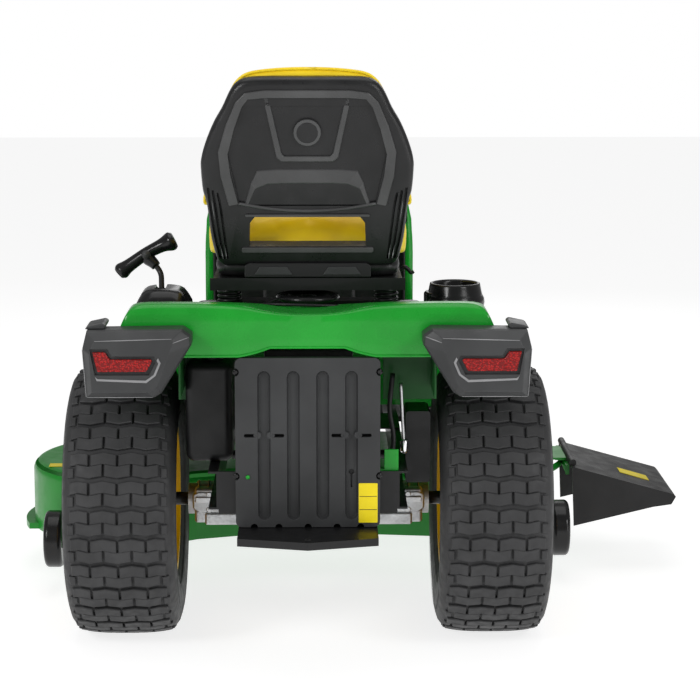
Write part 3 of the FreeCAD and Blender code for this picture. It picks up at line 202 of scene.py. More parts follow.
def metal(name, colour, roughness, brushed=None, pits=300.0, depth=0.0003, metallic=1.0):
    """Metal: brushed when it has a direction, cast and pitted otherwise."""
    n = Nodes(name)
    tone = n.ramp(n.noise(20.0, 6.0), 0.0, 1.0)
    n.link(n.mix(tone, shade(colour, 0.75), shade(colour, 1.1)), n.shader.inputs["Base Color"])
    height = n.noise(pits, 4.0, stretch=brushed)
    n.link(n.ramp(height, roughness - 0.08, roughness + 0.12), n.shader.inputs["Roughness"])
    n.link(n.bump(height, depth, 0.5), n.shader.inputs["Normal"])
    n.set(Metallic=metallic)
    return n.material


def red_reflector(name):
    """A red reflex lens: small prism cells under a glossy skin."""
    n = Nodes(name)
    cells = n.add("ShaderNodeTexVoronoi", feature="F1", Scale=300.0)
    n.link(n.coords, cells.inputs["Vector"])
    tone = n.ramp(cells.outputs["Distance"], 0.0, 1.0, 0.1, 0.6)
    n.link(n.mix(tone, (0.52, 0.010, 0.008), (0.16, 0.0, 0.0)), n.shader.inputs["Base Color"])
    n.link(n.bump(cells.outputs["Distance"], 0.0012, 0.8), n.shader.inputs["Normal"])
    n.set(Roughness=0.28, Coat_Weight=0.15, Coat_Roughness=0.05, Specular_IOR_Level=0.3)
    return n.material


def clear_lens(name):
    """A fluted headlight lens."""
    n = Nodes(name)
    flutes = n.add("ShaderNodeTexWave", Scale=60.0, Distortion=0.0, wave_profile="SIN")
    n.link(n.coords, flutes.inputs["Vector"])
    tone = n.ramp(n.noise(30.0), 0.0, 1.0)
    n.link(n.mix(tone, (0.62, 0.66, 0.68), (0.8, 0.83, 0.85)), n.shader.inputs["Base Color"])
    n.link(n.bump(flutes.outputs["Fac"], 0.001, 0.5), n.shader.inputs["Normal"])
    n.set(Roughness=0.08, Transmission_Weight=0.35, IOR=1.49)
    return n.material


M = {
    "green": paint("green_gloss_paint", GREEN),
    # The deck paint is the body green darkened to 0.8 and made rougher: painted shade for the deck low
    # under the machine.
    "deck_green_shaded": paint("deck_paint_shaded", shade(GREEN, 0.8), 0.3),
    "shaded_well_paint": paint("wheel_well_shade_green", WELL_SHADE_GREEN, 0.5),
    "rim": paint("rim_yellow_paint", RIM_YELLOW, 0.28),
    "black_paint": paint("black_satin_paint", BLACK, 0.36),
    "shell": plastic("seat_shell_plastic", (0.010, 0.010, 0.0105), 0.32),
    "pod": plastic("pod_plastic", (0.036, 0.037, 0.038), 0.38),
    # Light grey plastic for the pod lips, the lines along the pod edges and the seat louvre edges: painted
    # highlights standing in for the light caught on those edges.
    "highlight": plastic("painted_highlight_plastic", (0.24, 0.24, 0.245), 0.3),
    "trim": plastic("trim_plastic", (0.060, 0.060, 0.061), 0.36),
    "cover": plastic("rear_cover_plastic", GRAPHITE, 0.48),
    "black": plastic("black_moulded_plastic", BLACK, 0.4),
    "gloss": plastic("black_gloss_plastic", BLACK, 0.2, 500.0, 0.00005),
    "tyre": rubber("tyre_rubber", (0.028, 0.028, 0.029)),
    "mat": rubber("mat_rubber", (0.018, 0.018, 0.018)), "vinyl": vinyl("yellow_seat_vinyl", YELLOW),
    "aluminium": metal("cast_aluminium", (0.60, 0.61, 0.62), 0.45),
    "steel": metal("brushed_steel", (0.55, 0.55, 0.56), 0.32, (1, 1, 30)),
    "plate": metal("zinc_plate", (0.72, 0.73, 0.74), 0.42, (1, 30, 1)),
    "iron": metal("engine_iron", (0.035, 0.035, 0.037), 0.55, metallic=0.4),
    "chrome": metal("polished_chrome", (0.85, 0.85, 0.86), 0.12, pits=60.0, depth=0.00002),
    "red": red_reflector("red_reflector"), "lens": clear_lens("headlight_lens"),
    "label": plastic("label_yellow", (0.78, 0.62, 0.005), 0.4, 200.0, 0.00002),
    "label_line": plastic("label_black", (0.01, 0.01, 0.01), 0.4, 200.0, 0.00002),
    "knob": plastic("knob_yellow", YELLOW, 0.3, 400.0, 0.00004)
}


# ---------------------------------------------------------------- mesh helpers
def make(name, points, faces, material, body, slot=None, replaces=(), smooth=True):
    """A mesh object from points in the machine's millimetres, riding on a body."""
    mesh = bpy.data.meshes.new(name)
    mesh.from_pydata([place(p) for p in points], [], faces)
    mesh.validate()
    piece = bpy.data.objects.new(name, mesh)
    bpy.context.scene.collection.objects.link(piece)
    mesh.materials.append(M[material])
    work = bmesh.new()
    work.from_mesh(mesh)
    bmesh.ops.remove_doubles(work, verts=work.verts, dist=1e-6)
    bmesh.ops.recalc_face_normals(work, faces=work.faces)
    work.to_mesh(mesh)
    work.free()
    for face in mesh.polygons:
        face.use_smooth = smooth
    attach(piece, body)
    if replaces:
        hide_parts(*replaces)
    return piece


def modify(piece, kind, **settings):
    modifier = piece.modifiers.new(kind.title(), kind)
    for key, value in settings.items():
        setattr(modifier, key, value)
    return modifier


def bevel(piece, width, segments=3, angle=30):
    modify(
        piece, "BEVEL", width=width * MM, segments=segments, limit_method="ANGLE",
        angle_limit=math.radians(angle), harden_normals=True
    )
    return piece


def thicken(piece, thickness, offset=-1.0):
    modify(piece, "SOLIDIFY", thickness=thickness * MM, offset=offset)
    return piece


def bake(piece):
    """Turns a piece's modifiers into its mesh."""
    bpy.context.view_layer.update()
    solved = piece.evaluated_get(bpy.context.evaluated_depsgraph_get())
    mesh = bpy.data.meshes.new_from_object(solved)
    old = piece.data
    piece.modifiers.clear()
    piece.data = mesh
    mesh.name = piece.name
    bpy.data.meshes.remove(old)
    return piece


def sharpen(piece, degrees=35):
    piece.data.set_sharp_from_angle(angle=math.radians(degrees))
    return piece


def carve(piece, *cutters, operation="DIFFERENCE"):
    """Cuts the piece with closed cutters, which are then removed."""
    for cutter in cutters:
        modify(piece, "BOOLEAN", object=cutter, operation=operation, solver="EXACT")
        bake(piece)
        mesh = cutter.data
        bpy.data.objects.remove(cutter)
        bpy.data.meshes.remove(mesh)
    return piece


def cutter(points, faces):
    """A closed tool for carve(), which is not part of the object."""
    mesh = bpy.data.meshes.new("cutter")
    mesh.from_pydata([place(p) for p in points], [], faces)
    tool = bpy.data.objects.new("cutter", mesh)
    bpy.context.scene.collection.objects.link(tool)
    work = bmesh.new()
    work.from_mesh(mesh)
    bmesh.ops.recalc_face_normals(work, faces=work.faces)
    work.to_mesh(mesh)
    work.free()
    return tool


def prism_data(outline, plane, start, end):
    """Points and faces of an outline drawn on a plane and pushed from start to end."""
    axes = {"XZ": (0, 2, 1), "YZ": (1, 2, 0), "XY": (0, 1, 2)}[plane]
    count = len(outline)
    points = []
    for depth in (start, end):
        for a, b in outline:
            point = [0.0, 0.0, 0.0]
            point[axes[0]], point[axes[1]], point[axes[2]] = a, b, depth
            points.append(point)
    faces = [list(range(count)), list(range(count, 2 * count))[::-1]]
    faces += [[i, (i + 1) % count, count + (i + 1) % count, count + i] for i in range(count)]
    return points, faces


def slab(name, outline, plane, start, end, material, body, slot=None, edge=2.0, segments=2, **extra):
    """A rounded plate or block from an outline."""
    points, faces = prism_data(outline, plane, start, end)
    piece = make(name, points, faces, material, body, slot, **extra)
    return bevel(piece, edge, segments) if edge else piece


def grid_faces(rows, columns, wrap_rows=False, wrap_columns=False):
    faces = []
    for i in range(rows if wrap_rows else rows - 1):
        for j in range(columns if wrap_columns else columns - 1):
            a, b = i * columns + j, i * columns + (j + 1) % columns
            c = ((i + 1) % rows) * columns + (j + 1) % columns
            d = ((i + 1) % rows) * columns + j
            faces.append([a, b, c, d])
    return faces


def loft(name, rows, material, body, slot=None, wrap_rows=False, wrap_columns=False, caps=False, **extra):
    """A surface through rows of points."""
    columns = len(rows[0])
    points = [p for row in rows for p in row]
    faces = grid_faces(len(rows), columns, wrap_rows, wrap_columns)
    if caps:
        faces.append(list(range(columns))[::-1])
        faces.append(list(range(len(points) - columns, len(points))))
    return make(name, points, faces, material, body, slot, **extra)


def smooth_line(points, samples):
    """A Catmull-Rom curve through the points."""
    p = np.array(points, float)
    p = np.vstack([2 * p[0] - p[1], p, 2 * p[-1] - p[-2]])
    out = []
    for t in np.linspace(0, len(p) - 3 - 1e-9, samples):
        i, f = int(t), t - int(t)
        a, b, c, d = p[i : i + 4]
        out.append(
            0.5 * (
                2 * b + (c - a) * f + (2 * a - 5 * b + 4 * c - d) * f**2 + (3 * b - a - 3 * c + d) * f**3
            )
        )
    return np.array(out)


def ease(value, low, high):
    """0 below low, 1 above high and smooth between."""
    t = np.clip((np.asarray(value, float) - low) / (high - low), 0, 1)
    return t * t * (3 - 2 * t)


def turned(name, profile, centre, axis, material, body, slot=None, steps=48, caps=True, **extra):
    """A lathe piece. The profile's points are (radius, distance along the axis)."""
    rows = []
    for radius, along in profile:
        row = []
        for k in range(steps):
            turn = 2 * math.pi * k / steps
            a, b = radius * math.cos(turn), radius * math.sin(turn)
            offset = {"X": (along, a, b), "Y": (a, along, b), "Z": (a, b, along)}[axis]
            row.append([c + o for c, o in zip(centre, offset)])
        rows.append(row)
    return loft(name, rows, material, body, slot, wrap_columns=True, caps=caps, **extra)


def tube(name, path, radius, material, body, slot=None, sides=14, samples=None, **extra):
    """A round tube along a smooth path. The radius may be a list, one for each path point."""
    line = np.array(path, float)
    radii = np.full(len(line), radius, float) if np.isscalar(radius) else np.array(radius, float)
    if samples:
        both = smooth_line(np.column_stack([line, radii]), samples)
        line, radii = both[:, :3], both[:, 3]
    rows = []
    side = None
    for i, centre in enumerate(line):
        along = line[min(i + 1, len(line) - 1)] - line[max(i - 1, 0)]
        along = along / np.linalg.norm(along)
        if side is None:
            guess = np.array([0, 0, 1.0]) if abs(along[2]) < 0.9 else np.array([1.0, 0, 0])
            side = np.cross(along, guess)
        side = side - along * side.dot(along)
        side = side / np.linalg.norm(side)
        other = np.cross(along, side)
        row = []
        for k in range(sides):
            turn = 2 * math.pi * k / sides
            row.append(centre + radii[i] * (math.cos(turn) * side + math.sin(turn) * other))
        rows.append(row)
    return loft(name, rows, material, body, slot, wrap_columns=True, caps=True, **extra)


def rounded_box(half_a, half_b, radius, steps=5):
    """A rectangle's outline with round corners, centred on zero."""
    outline = []
    for sign_a, sign_b, start in ((1, 1, 0), (-1, 1, 90), (-1, -1, 180), (1, -1, 270)):
        for k in range(steps + 1):
            turn = math.radians(start + 90 * k / steps)
            a = sign_a * (half_a - radius) + radius * math.cos(turn)
            b = sign_b * (half_b - radius) + radius * math.sin(turn)
            outline.append((a, b))
    return outline


def moved(outline, a, b):
    return [(x + a, y + b) for x, y in outline]


def circle(a, b, radius, steps=24):
    turns = [2 * math.pi * k / steps for k in range(steps)]
    return [(a + radius * math.cos(t), b + radius * math.sin(t)) for t in turns]


def bolt(name, centre, axis, radius, height, body, slot, material="steel"):
    """A hexagon bolt head on a washer. The height's sign is the way that it faces."""
    washer = [(0.01, 0), (radius * 1.5, 0), (radius * 1.5, height * 0.25), (0.01, height * 0.25)]
    turned(name + "_washer", washer, centre, axis, material, body, slot, steps=24)
    head = [(radius, height * 0.25), (radius, height * 0.85), (radius * 0.8, height), (0.01, height)]
    turned(name, head, centre, axis, material, body, slot, steps=6, smooth=False)


# ---------------------------------------------------------------- CAD nodes that keep their shape
KEPT = {
    "black_paint": (
        "frame_rail_left frame_rail_right frame_crossmembers hitch_plate seat_pan lift_arms front_axle"
        " foot_platforms firewall spindle_left spindle_right side_guard"
    ),
    "black": (
        "grille fuel_tank battery belt_covers discharge_chute dash_pedestal brake_pedal reverse_pedal"
        " forward_pedal throttle_lever"
    ),
    "gloss": "gauge_wheel_left gauge_wheel_right",
    "rim": "rear_rim_left rear_rim_right front_rim_left front_rim_right",
    "aluminium": "transaxle engine_shroud",
    "iron": "engine_block muffler",
    "steel": "tie_rod blade_left blade_center blade_right ignition_key",
    "deck_green_shaded": "mower_deck",
    "lens": "headlights",
    "knob": "pto_knob",
}


def finish_kept_nodes():
    for material, names in KEPT.items():
        for name in names.split():
            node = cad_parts[name]
            for entry in node.material_slots:
                entry.material = M[material]


# ---------------------------------------------------------------- wheels
def tread_block(points, faces, centre, across, turn, slant, radius, half_width, length):
    """One lug of the tread. Its top is inset from its foot, and both follow the tyre's crown."""
    first = len(points)
    x0, x1 = across
    middle = (x0 + x1) / 2
    columns = 5
    for inset, drop in ((0, 9.0), (0, 1.6), (1.7, 0.0)):
        for edge in (-1, 1):
            for k in range(columns):
                x = x0 + inset + (x1 - x0 - 2 * inset) * k / (columns - 1)
                bend = slant * abs(x - middle) / 26.0
                along = edge * (length / 2 - inset) + bend
                angle = turn + along / radius
                crown = 7.0 * (abs(x) / half_width) ** 3
                r = radius - drop - crown
                points.append(
                    (centre[0] + x, centre[1] + r * math.sin(angle), centre[2] + r * math.cos(angle))
                )
    ring = [list(range(first + 10 * i, first + 10 * i + 5)) for i in range(3)]
    back = [list(range(first + 10 * i + 5, first + 10 * i + 10)) for i in range(3)]
    for i in range(2):
        loop_low = ring[i] + back[i][::-1]
        loop_high = ring[i + 1] + back[i + 1][::-1]
        for k in range(10):
            m = (k + 1) % 10
            faces.append([loop_low[k], loop_low[m], loop_high[m], loop_high[k]])
    for k in range(4):
        faces.append([ring[2][k], ring[2][k + 1], back[2][k + 1], back[2][k]])


def tyre(node, body, bead, pitch=29.5):
    """A turf tyre: a round shouldered carcass with rows of short lugs and notched shoulders."""
    (x0, x1), (y0, y1), (z0, z1) = span(node)
    centre = ((x0 + x1) / 2, (y0 + y1) / 2, (z0 + z1) / 2)
    half, radius = (x1 - x0) / 2, (z1 - z0) / 2
    wall = radius - bead
    side = [
        (bead + 0.5, 0.83 * half), (bead + 0.04 * wall, 0.87 * half), (bead + 0.10 * wall, 0.86 * half),
        (bead + 0.16 * wall, 0.92 * half), (bead + 0.34 * wall, 0.98 * half),
        (bead + 0.52 * wall, 1.0 * half), (bead + 0.70 * wall, 0.985 * half),
        (bead + 0.80 * wall, 0.95 * half), (bead + 0.86 * wall, 0.90 * half),
        (radius - 13, 0.83 * half), (radius - 10, 0.70 * half), (radius - 8.5, 0.40 * half),
        (radius - 8, 0.0)
    ]
    outer = side + [(r, -x) for r, x in reversed(side[:-1])]
    inner = [(bead + 0.5, -0.74 * half), (radius - 26, -0.74 * half), (radius - 26, 0.74 * half)]
    profile = [(r, x) for r, x in outer] + inner + [(bead + 0.5, 0.74 * half)]
    carcass = turned(
        node + "_carcass", profile, centre, "X", "tyre", body, "rubber_tyre", steps=96, caps=False,
        wrap_rows=True, replaces=[node]
    )
    sharpen(carcass, 50)

    tread = 0.83 * half
    rows = 2 * round(math.pi * radius / pitch)
    points, faces = [], []
    lug = (2 * tread - 18) / 3.3
    for row in range(rows):
        turn = 2 * math.pi * row / rows
        slant = 5.0 if row % 2 else -5.0
        starts = (-1.5, -0.5, 0.5) if row % 2 else (-2.0, -1.0, 0.0, 1.0)
        for start in starts:
            low = start * (lug + 4.5) + 2.25
            across = (max(low, -tread), min(low + lug, tread))
            if across[1] - across[0] > 8:
                tread_block(points, faces, centre, across, turn, slant, radius, tread, pitch - 5.0)
        if row % 2:
            for side_sign in (-1, 1):
                inner_edge = 1.5 * (lug + 4.5) + 2.25
                across = sorted((side_sign * inner_edge, side_sign * (tread + 5)))
                tread_block(points, faces, centre, across, turn, 0.0, radius - 1.5, tread, pitch - 9.0)
    make(node + "_tread", points, faces, "tyre", body, "rubber_tyre", smooth=False)

    for ring_height in (0.22, 0.62):
        r = bead + ring_height * wall
        for sign in (-1, 1):
            x = sign * half * (0.955 if ring_height < 0.5 else 0.992)
            path = [(r - 1.6, x - 1.0), (r, x + sign * 1.4), (r + 1.6, x - 1.0)]
            turned(
                f"{node}_rib_{int(100 * ring_height)}_{'in' if sign < 0 else 'out'}", path, centre, "X",
                "tyre", body, "rubber_tyre", steps=72, caps=False
            )


def wheels():
    for side, sign in (("left", -1), ("right", 1)):
        rear, front = f"rear_wheel_{side}", f"front_wheel_{side}"
        tyre(f"rear_tyre_{side}", rear, 152)
        tyre(f"front_tyre_{side}", front, 80, 26.0)
        lugs, lug_circle = 5, 70
        for k in range(lugs):
            turn = 2 * math.pi * k / lugs
            y, z = lug_circle * math.cos(turn), REAR_AXLE_Z + lug_circle * math.sin(turn)
            bolt(f"rear_lug_{side}_{k}", (sign * 388, y, z), "X", 8, sign * 9, rear, "bare_steel")
        cap = [(0.01, 0), (22, 0), (22, 6), (16, 11), (0.01, 12)]
        cap = [(r, sign * a) for r, a in cap]
        turned(
            f"front_cap_{side}", cap, (sign * 473, WHEELBASE, FRONT_AXLE_Z), "X", "gloss", front,
            "black_plastic"
        )


# ---------------------------------------------------------------- fender, pods, cover
def fender_side(y):
    """Height of the fender's crown at y."""
    ys = [-300, -294, -284, -262, -200, -120, 50, 200, 380]
    zs = [712, 726, 733, 735, 722, 706, 680, 656, 629]
    return float(np.interp(y, ys, zs))


FENDER_HALF = [
    (0, 712), (40, 713), (80, 718), (120, 727), (160, 732), (220, 735), (290, 736), (320, 733),
    (338, 725), (350, 711), (360, 690), (368, 664), (372, 640)
]


def soft_lower(a, b, softness=5.0):
    low, gap = min(a, b), abs(a - b)
    return low - softness * math.log1p(math.exp(-gap / softness))


def arch_edge(x):
    """Lower edge of the fender's rear band."""
    return float(np.interp(abs(x), [0, 72, 100, 131, 400], [647, 647, 637, 630, 630]))


def fender():
    """The fender as one curved sheet, with rolled edges and its wheel wells."""
    half = smooth_line([(x, z) for x, z in FENDER_HALF], 40)
    across = [(-x, z) for x, z in half[::-1]] + [(x, z) for x, z in half[1:]]
    depths = [-299.9, -299.6, -298.6, -296, -291, -284, -272, -255, -230, -200, -160, -120, -80]
    depths += [-40, 0, 50, 100, 150, 200, 250, 300, 340, 368, 377, 380]
    rows = []
    for share in (0.0, 0.08, 0.3, 0.55, 0.8):
        row = []
        for x, z in across:
            top = soft_lower(fender_side(-299.9), z)
            low = min(arch_edge(x), top - 2)
            tuck = 2.5 * (1 - min(share / 0.08, 1))
            row.append((x, -299.9 + tuck, low + share * (top - low)))
        rows.append([(-372, -299.9, 628)] + row + [(372, -299.9, 628)])
    for y in depths:
        row = []
        for x, z in across:
            drop = 14 * float(ease(y, 366, 380))
            row.append((x, y, soft_lower(fender_side(y), z) - drop))
        skirt = min(628, fender_side(y) - 24)
        rows.append([(-372, y, skirt)] + row + [(372, y, skirt)])
    for z in (590, 540, 470, 400):
        row = [(x, 379.5, z) for x, _ in across]
        rows.append([(-372, 379.5, z)] + row + [(372, 379.5, z)])
    shell = loft("fender_shell", rows, "green", "frame", "green_paint", replaces=["fender_pan"])
    thicken(shell, 3.2, 1.0 if shell_faces_in(shell) else -1.0)
    bake(shell)
    tunnel = prism_data([(-209, 360), (209, 360), (209, 404), (-209, 404)], "XZ", 370, 390)
    slot = prism_data(moved(rounded_box(19, 76, 8), -316, 185), "XY", 600, 760)
    cup = prism_data(circle(306, 50, 50, 40), "XY", 600, 760)
    neck = prism_data(circle(-190, -150, 24, 32), "XY", 600, 760)
    carve(shell, *[cutter(*data) for data in (tunnel, slot, cup, neck)])
    sharpen(shell, 40)

    # The wheel wells and bulkheads use the darkened green: painted shade under the fender.
    for side, sign in (("left", -1), ("right", 1)):
        outline = [(-296, 708), (-110, 694), (50, 668), (338, 622), (338, 545), (-296, 545)]
        slab(
            f"wheel_well_{side}", outline, "YZ", sign * 246, sign * 250, "shaded_well_paint", "frame",
            "green_paint", edge=1.2
        )
        inner = 206 if sign < 0 else 150
        bulkhead = [(sign * x, z) for x, z in ((inner, 518), (258, 518), (258, 640), (inner, 640))]
        slab(
            f"well_bulkhead_{side}", bulkhead, "XZ", -156, -152, "shaded_well_paint", "frame", "green_paint",
            edge=1.2
        )
        hem = [(sign * 371, y, min(628, fender_side(y) - 24)) for y in range(-290, 380, 40)]
        tube(f"fender_hem_{side}", hem, 2.6, "green", "frame", "green_paint", sides=8)
    edge = [(x, -298, arch_edge(x) + 0.5) for x in range(-360, 361, 12)]
    tube("fender_rear_hem", edge, 2.8, "green", "frame", "green_paint", sides=8)


def shell_faces_in(piece):
    """True if a sheet's crown faces down."""
    top = max(piece.data.polygons, key=lambda face: face.center.z)
    return top.normal.z < 0


def light_pod(side, sign):
    """A tail light pod: bevelled shell, inner wing, U-shaped lip coloured light grey as a painted
    highlight, a prismatic red lens and thin light grey tubes along its edges as painted highlights.
    """
    outline = [
        (420, 690), (429, 655), (423, 560), (292, 560), (279, 568), (221, 661), (221, 680), (238, 692)
    ]
    shoulder = [
        (420, 688), (428, 655), (422, 562), (294, 562), (282, 570), (224, 662), (225, 678), (240, 689)
    ]
    face = [
        (404, 672), (414, 648), (410, 574), (302, 574), (286, 586), (262, 650), (254, 668), (256, 676)
    ]

    def ring(points, y):
        return [(sign * x, y, z) for x, z in points]

    body_rings = [ring(outline, -300.3), ring(outline, -348), ring(shoulder, -356), ring(face, -373)]
    pod = loft(
        f"pod_{side}", body_rings, "pod", "frame", "black_plastic", wrap_columns=True, caps=True,
        smooth=False, replaces=[f"light_pod_{side}"]
    )
    recess = [(413, 657), (404, 607), (300, 607), (287, 634), (291, 643), (371, 643), (379, 657)]
    points = [(sign * x, z) for x, z in recess]
    carve(pod, cutter(*prism_data(points, "XZ", -380, -365)))
    bevel(pod, 1.8, 3, 14)

    lens = [(408, 651), (399, 613), (306, 613), (295, 633), (297, 637), (375, 637), (384, 651)]
    points = [(sign * x, z) for x, z in lens]
    slab(
        f"tail_lens_{side}", points, "XZ", -371.5, -366, "red", "frame", "red_lens", edge=1.5,
        replaces=["tail_lenses"] if sign < 0 else ()
    )
    # The U-shaped lip is a real moulded lip, but it is coloured light grey as a painted highlight on its
    # edge.
    lip = [(404, 606), (400, 596), (306, 592), (288, 606), (278, 630), (283, 640)]
    inner = [(401, 602), (398, 600), (307, 597), (292, 608), (283, 629), (286, 636)]
    band = [ring(lip, -371), ring(lip, -374.4), ring(inner, -374.4), ring(inner, -371)]
    piece = loft(
        f"pod_lip_highlight_{side}", band, "highlight", "frame", "black_plastic", wrap_rows=True, smooth=False
    )
    bevel(piece, 0.8, 2, 20)

    # Thin light grey tubes along the pod's edges: painted highlights, not parts of the pod.
    creases = {
        "tip": [(225, -357.5, 677.5), (240, -366, 673), (255, -374, 668.5)],
        "side": [(428.5, -356.5, 654), (425, -356.8, 608), (422.5, -357, 563)],
        "foot": [(421, -357, 561.5), (360, -357, 561.5), (295, -357, 561.5)],
        "brow": [(257, -374, 676.5), (330, -374, 674.5), (403, -374, 672.5)]
    }
    for part, path in creases.items():
        path = [(sign * x, y, z) for x, y, z in path]
        sizes = [0.5, 1.0, 0.5]
        tube(
            f"pod_highlight_line_{part}_{side}", path, sizes, "highlight", "frame", "black_plastic", sides=8,
            samples=12
        )

    flare = []
    for y, top_z, out in (
        (-302, 687, 424), (-180, 668, 424), (-40, 640, 423), (80, 619, 418), (140, 610, 405)
    ):
        flare.append(
            [
                (sign * 373, y, top_z + 2), (sign * (out - 10), y, top_z + 1),
                (sign * (out - 3), y, top_z - 4), (sign * out, y, top_z - 14), (sign * out, y, 602)
            ]
        )
    piece = loft(f"pod_flare_{side}", flare, "pod", "frame", "black_plastic")
    thicken(piece, 3.0, 1.0 if shell_faces_in(piece) else -1.0)
    handle = [(387, 690), (384, 697), (390, 701.5), (421, 695), (425, 690)]
    points = [(sign * x, z) for x, z in handle]
    slab(f"pod_grip_{side}", points, "XZ", -340, -262, "pod", "frame", "black_plastic", edge=3.0)


def stadium(centre, half_width, low, high, steps=8):
    """An upright slot with round ends."""
    outline = []
    for k in range(steps + 1):
        turn = math.pi * k / steps
        outline.append(
            (centre + half_width * math.cos(turn), high - half_width + half_width * math.sin(turn))
        )
    for k in range(steps + 1):
        turn = math.pi + math.pi * k / steps
        outline.append(
            (centre + half_width * math.cos(turn), low + half_width + half_width * math.sin(turn))
        )
    return outline


def rear_cover():
    """The pressed cover plate with four sunk channels, slots, a keyhole and its clips."""
    front, face = -284.0, -300.0
    outline = moved(rounded_box(141, 168, 12, 6), 0, 459)
    points, faces = prism_data(outline, "XZ", face, front)
    cover = make("cover_plate", points, faces, "cover", "frame", "black_plastic", replaces=["rear_cover"])
    tools = []
    for x in (-85, -28, 29, 85):
        low = [(a, b) for a, b in stadium(x, 13, 305, 602)]
        floor = [(a, b) for a, b in stadium(x, 9.5, 309, 598)]
        count = len(low)
        rings = [(a, face - 1, b) for a, b in low] + [(a, face + 10, b) for a, b in floor]
        sides = [list(range(count)), list(range(count, 2 * count))[::-1]]
        sides += [[i, (i + 1) % count, count + (i + 1) % count, count + i] for i in range(count)]
        tools.append(cutter(rings, sides))
    carve(cover, *tools)
    notches = [
        cutter(*prism_data(circle(x, 291, 7, 16), "XZ", face - 2, front + 2))
        for x in (-105, -57, 0, 57, 103)
    ]
    slots = []
    for x in (-112, -58, 58, 112):
        slots.append(cutter(*prism_data(moved(rounded_box(12, 3.4, 3), x, 474), "XZ", face - 2, front + 2)))
    slots.append(cutter(*prism_data(circle(85, 400, 5.5, 16), "XZ", face + 3, front + 2)))
    slots.append(
        cutter(
            *prism_data([(83.4, 369), (86.6, 369), (86.6, 400), (83.4, 400)], "XZ", face + 3, front + 2)
        )
    )
    for z in (599, 393):
        for x in (-141, 141):
            slots.append(cutter(*prism_data(circle(x, z, 8, 18), "XZ", face - 2, front + 2)))
    carve(cover, *notches, *slots)
    bevel(cover, 1.3, 3, 25)
    for z in (599, 393):
        for x in (-139, 139):
            bolt(
                f"cover_screw_{z}_{'l' if x < 0 else 'r'}", (x, face + 6, z), "Y", 4.5, -5, "frame",
                "black_paint", "gloss"
            )
    back = moved(rounded_box(136, 162, 10), 0, 459)
    slab("cover_dark_back", back, "XZ", -283.5, -281, "black", "frame", "black_plastic")
    for x in (-85, 85):
        for sign in (-1, 1):
            pinch = circle(x + sign * 13, 474, 8, 20)
            slab(
                f"cover_pinch_{'l' if x < 0 else 'r'}_{'in' if sign < 0 else 'out'}", pinch, "XZ",
                face + 1, face + 9, "cover", "frame", "black_plastic", edge=2
            )
    label_plate("cover_label", 117.5, 339.5, 18.5, 39.5, face - 0.8, "frame", cells=3)


def label_plate(name, x, z, half_x, half_z, y, body, cells=1):
    """A blank warning-yellow plate with thin cell borders and no lettering."""
    outline = moved(rounded_box(half_x, half_z, 2, 4), x, z)
    slab(name, outline, "XZ", y, y + 1.0, "label", body, "yellow_plastic", edge=0.3)
    for k in range(1, cells):
        height = z - half_z + 2 * half_z * k / cells
        line = moved(rounded_box(half_x - 1.5, 0.55, 0.3, 2), x, height)
        slab(f"{name}_line_{k}", line, "XZ", y - 0.25, y, "label_line", body, "black_plastic", edge=0)


# ---------------------------------------------------------------- seat
SEAT_FOOT = (-60.0, 783.0)
SEAT_LEAN = math.radians(12)


def lean(point):
    """A point of the upright seat back, leaned back about its foot."""
    y, z = point[1] - SEAT_FOOT[0], point[2] - SEAT_FOOT[1]
    c, s = math.cos(SEAT_LEAN), math.sin(SEAT_LEAN)
    return (point[0], SEAT_FOOT[0] + y * c - z * s, SEAT_FOOT[1] + y * s + z * c)


def upright(height):
    """Height on the upright back of a point seen at this height on the leaned back's rear face."""
    return SEAT_FOOT[1] + (height - SEAT_FOOT[1] + 7) / math.cos(SEAT_LEAN)


def leaned_slab(name, outline, start, end, material, body="seat", slot=None, edge=2.0, **extra):
    points, faces = prism_data(outline, "XZ", start, end)
    piece = make(name, [lean(p) for p in points], faces, material, body, slot, **extra)
    return bevel(piece, edge, 3, 25) if edge else piece


def leaned_cutter(outline, start, end):
    points, faces = prism_data(outline, "XZ", start, end)
    return cutter([lean(p) for p in points], faces)


BACK_HALF = [
    (0, 1172), (70, 1172), (116, 1170), (137, 1161), (151, 1144), (167, 1110), (184, 1080), (200, 1042),
    (210, 1008), (211, 985), (208, 944), (202, 922), (198, 895), (193, 845), (182, 800), (168, 785)
]


def back_outline(inset=0.0):
    """The seat back's outline, drawn in by the inset."""
    line = smooth_line(BACK_HALF, 70)
    scale_x = (211 - inset) / 211
    middle, tall = 977.5, 194.5
    scale_z = (tall - inset) / tall
    right = [(x * scale_x, middle + (z - middle) * scale_z) for x, z in line]
    return right[1:] + [(-x, z) for x, z in right[:0:-1]]


def louvre_line(k):
    """The curve of one side louvre, counted from the outer edge, on the upright back."""
    points = [
        (197 - 9 * k, upright(940 - 5 * k)), (193.5 - 10 * k, upright(904)),
        (184.5 - 9.4 * k, upright(838)), (174.5 - 6.8 * k, upright(794))
    ]
    return [(x, z) for x, z in smooth_line(points, 18)]


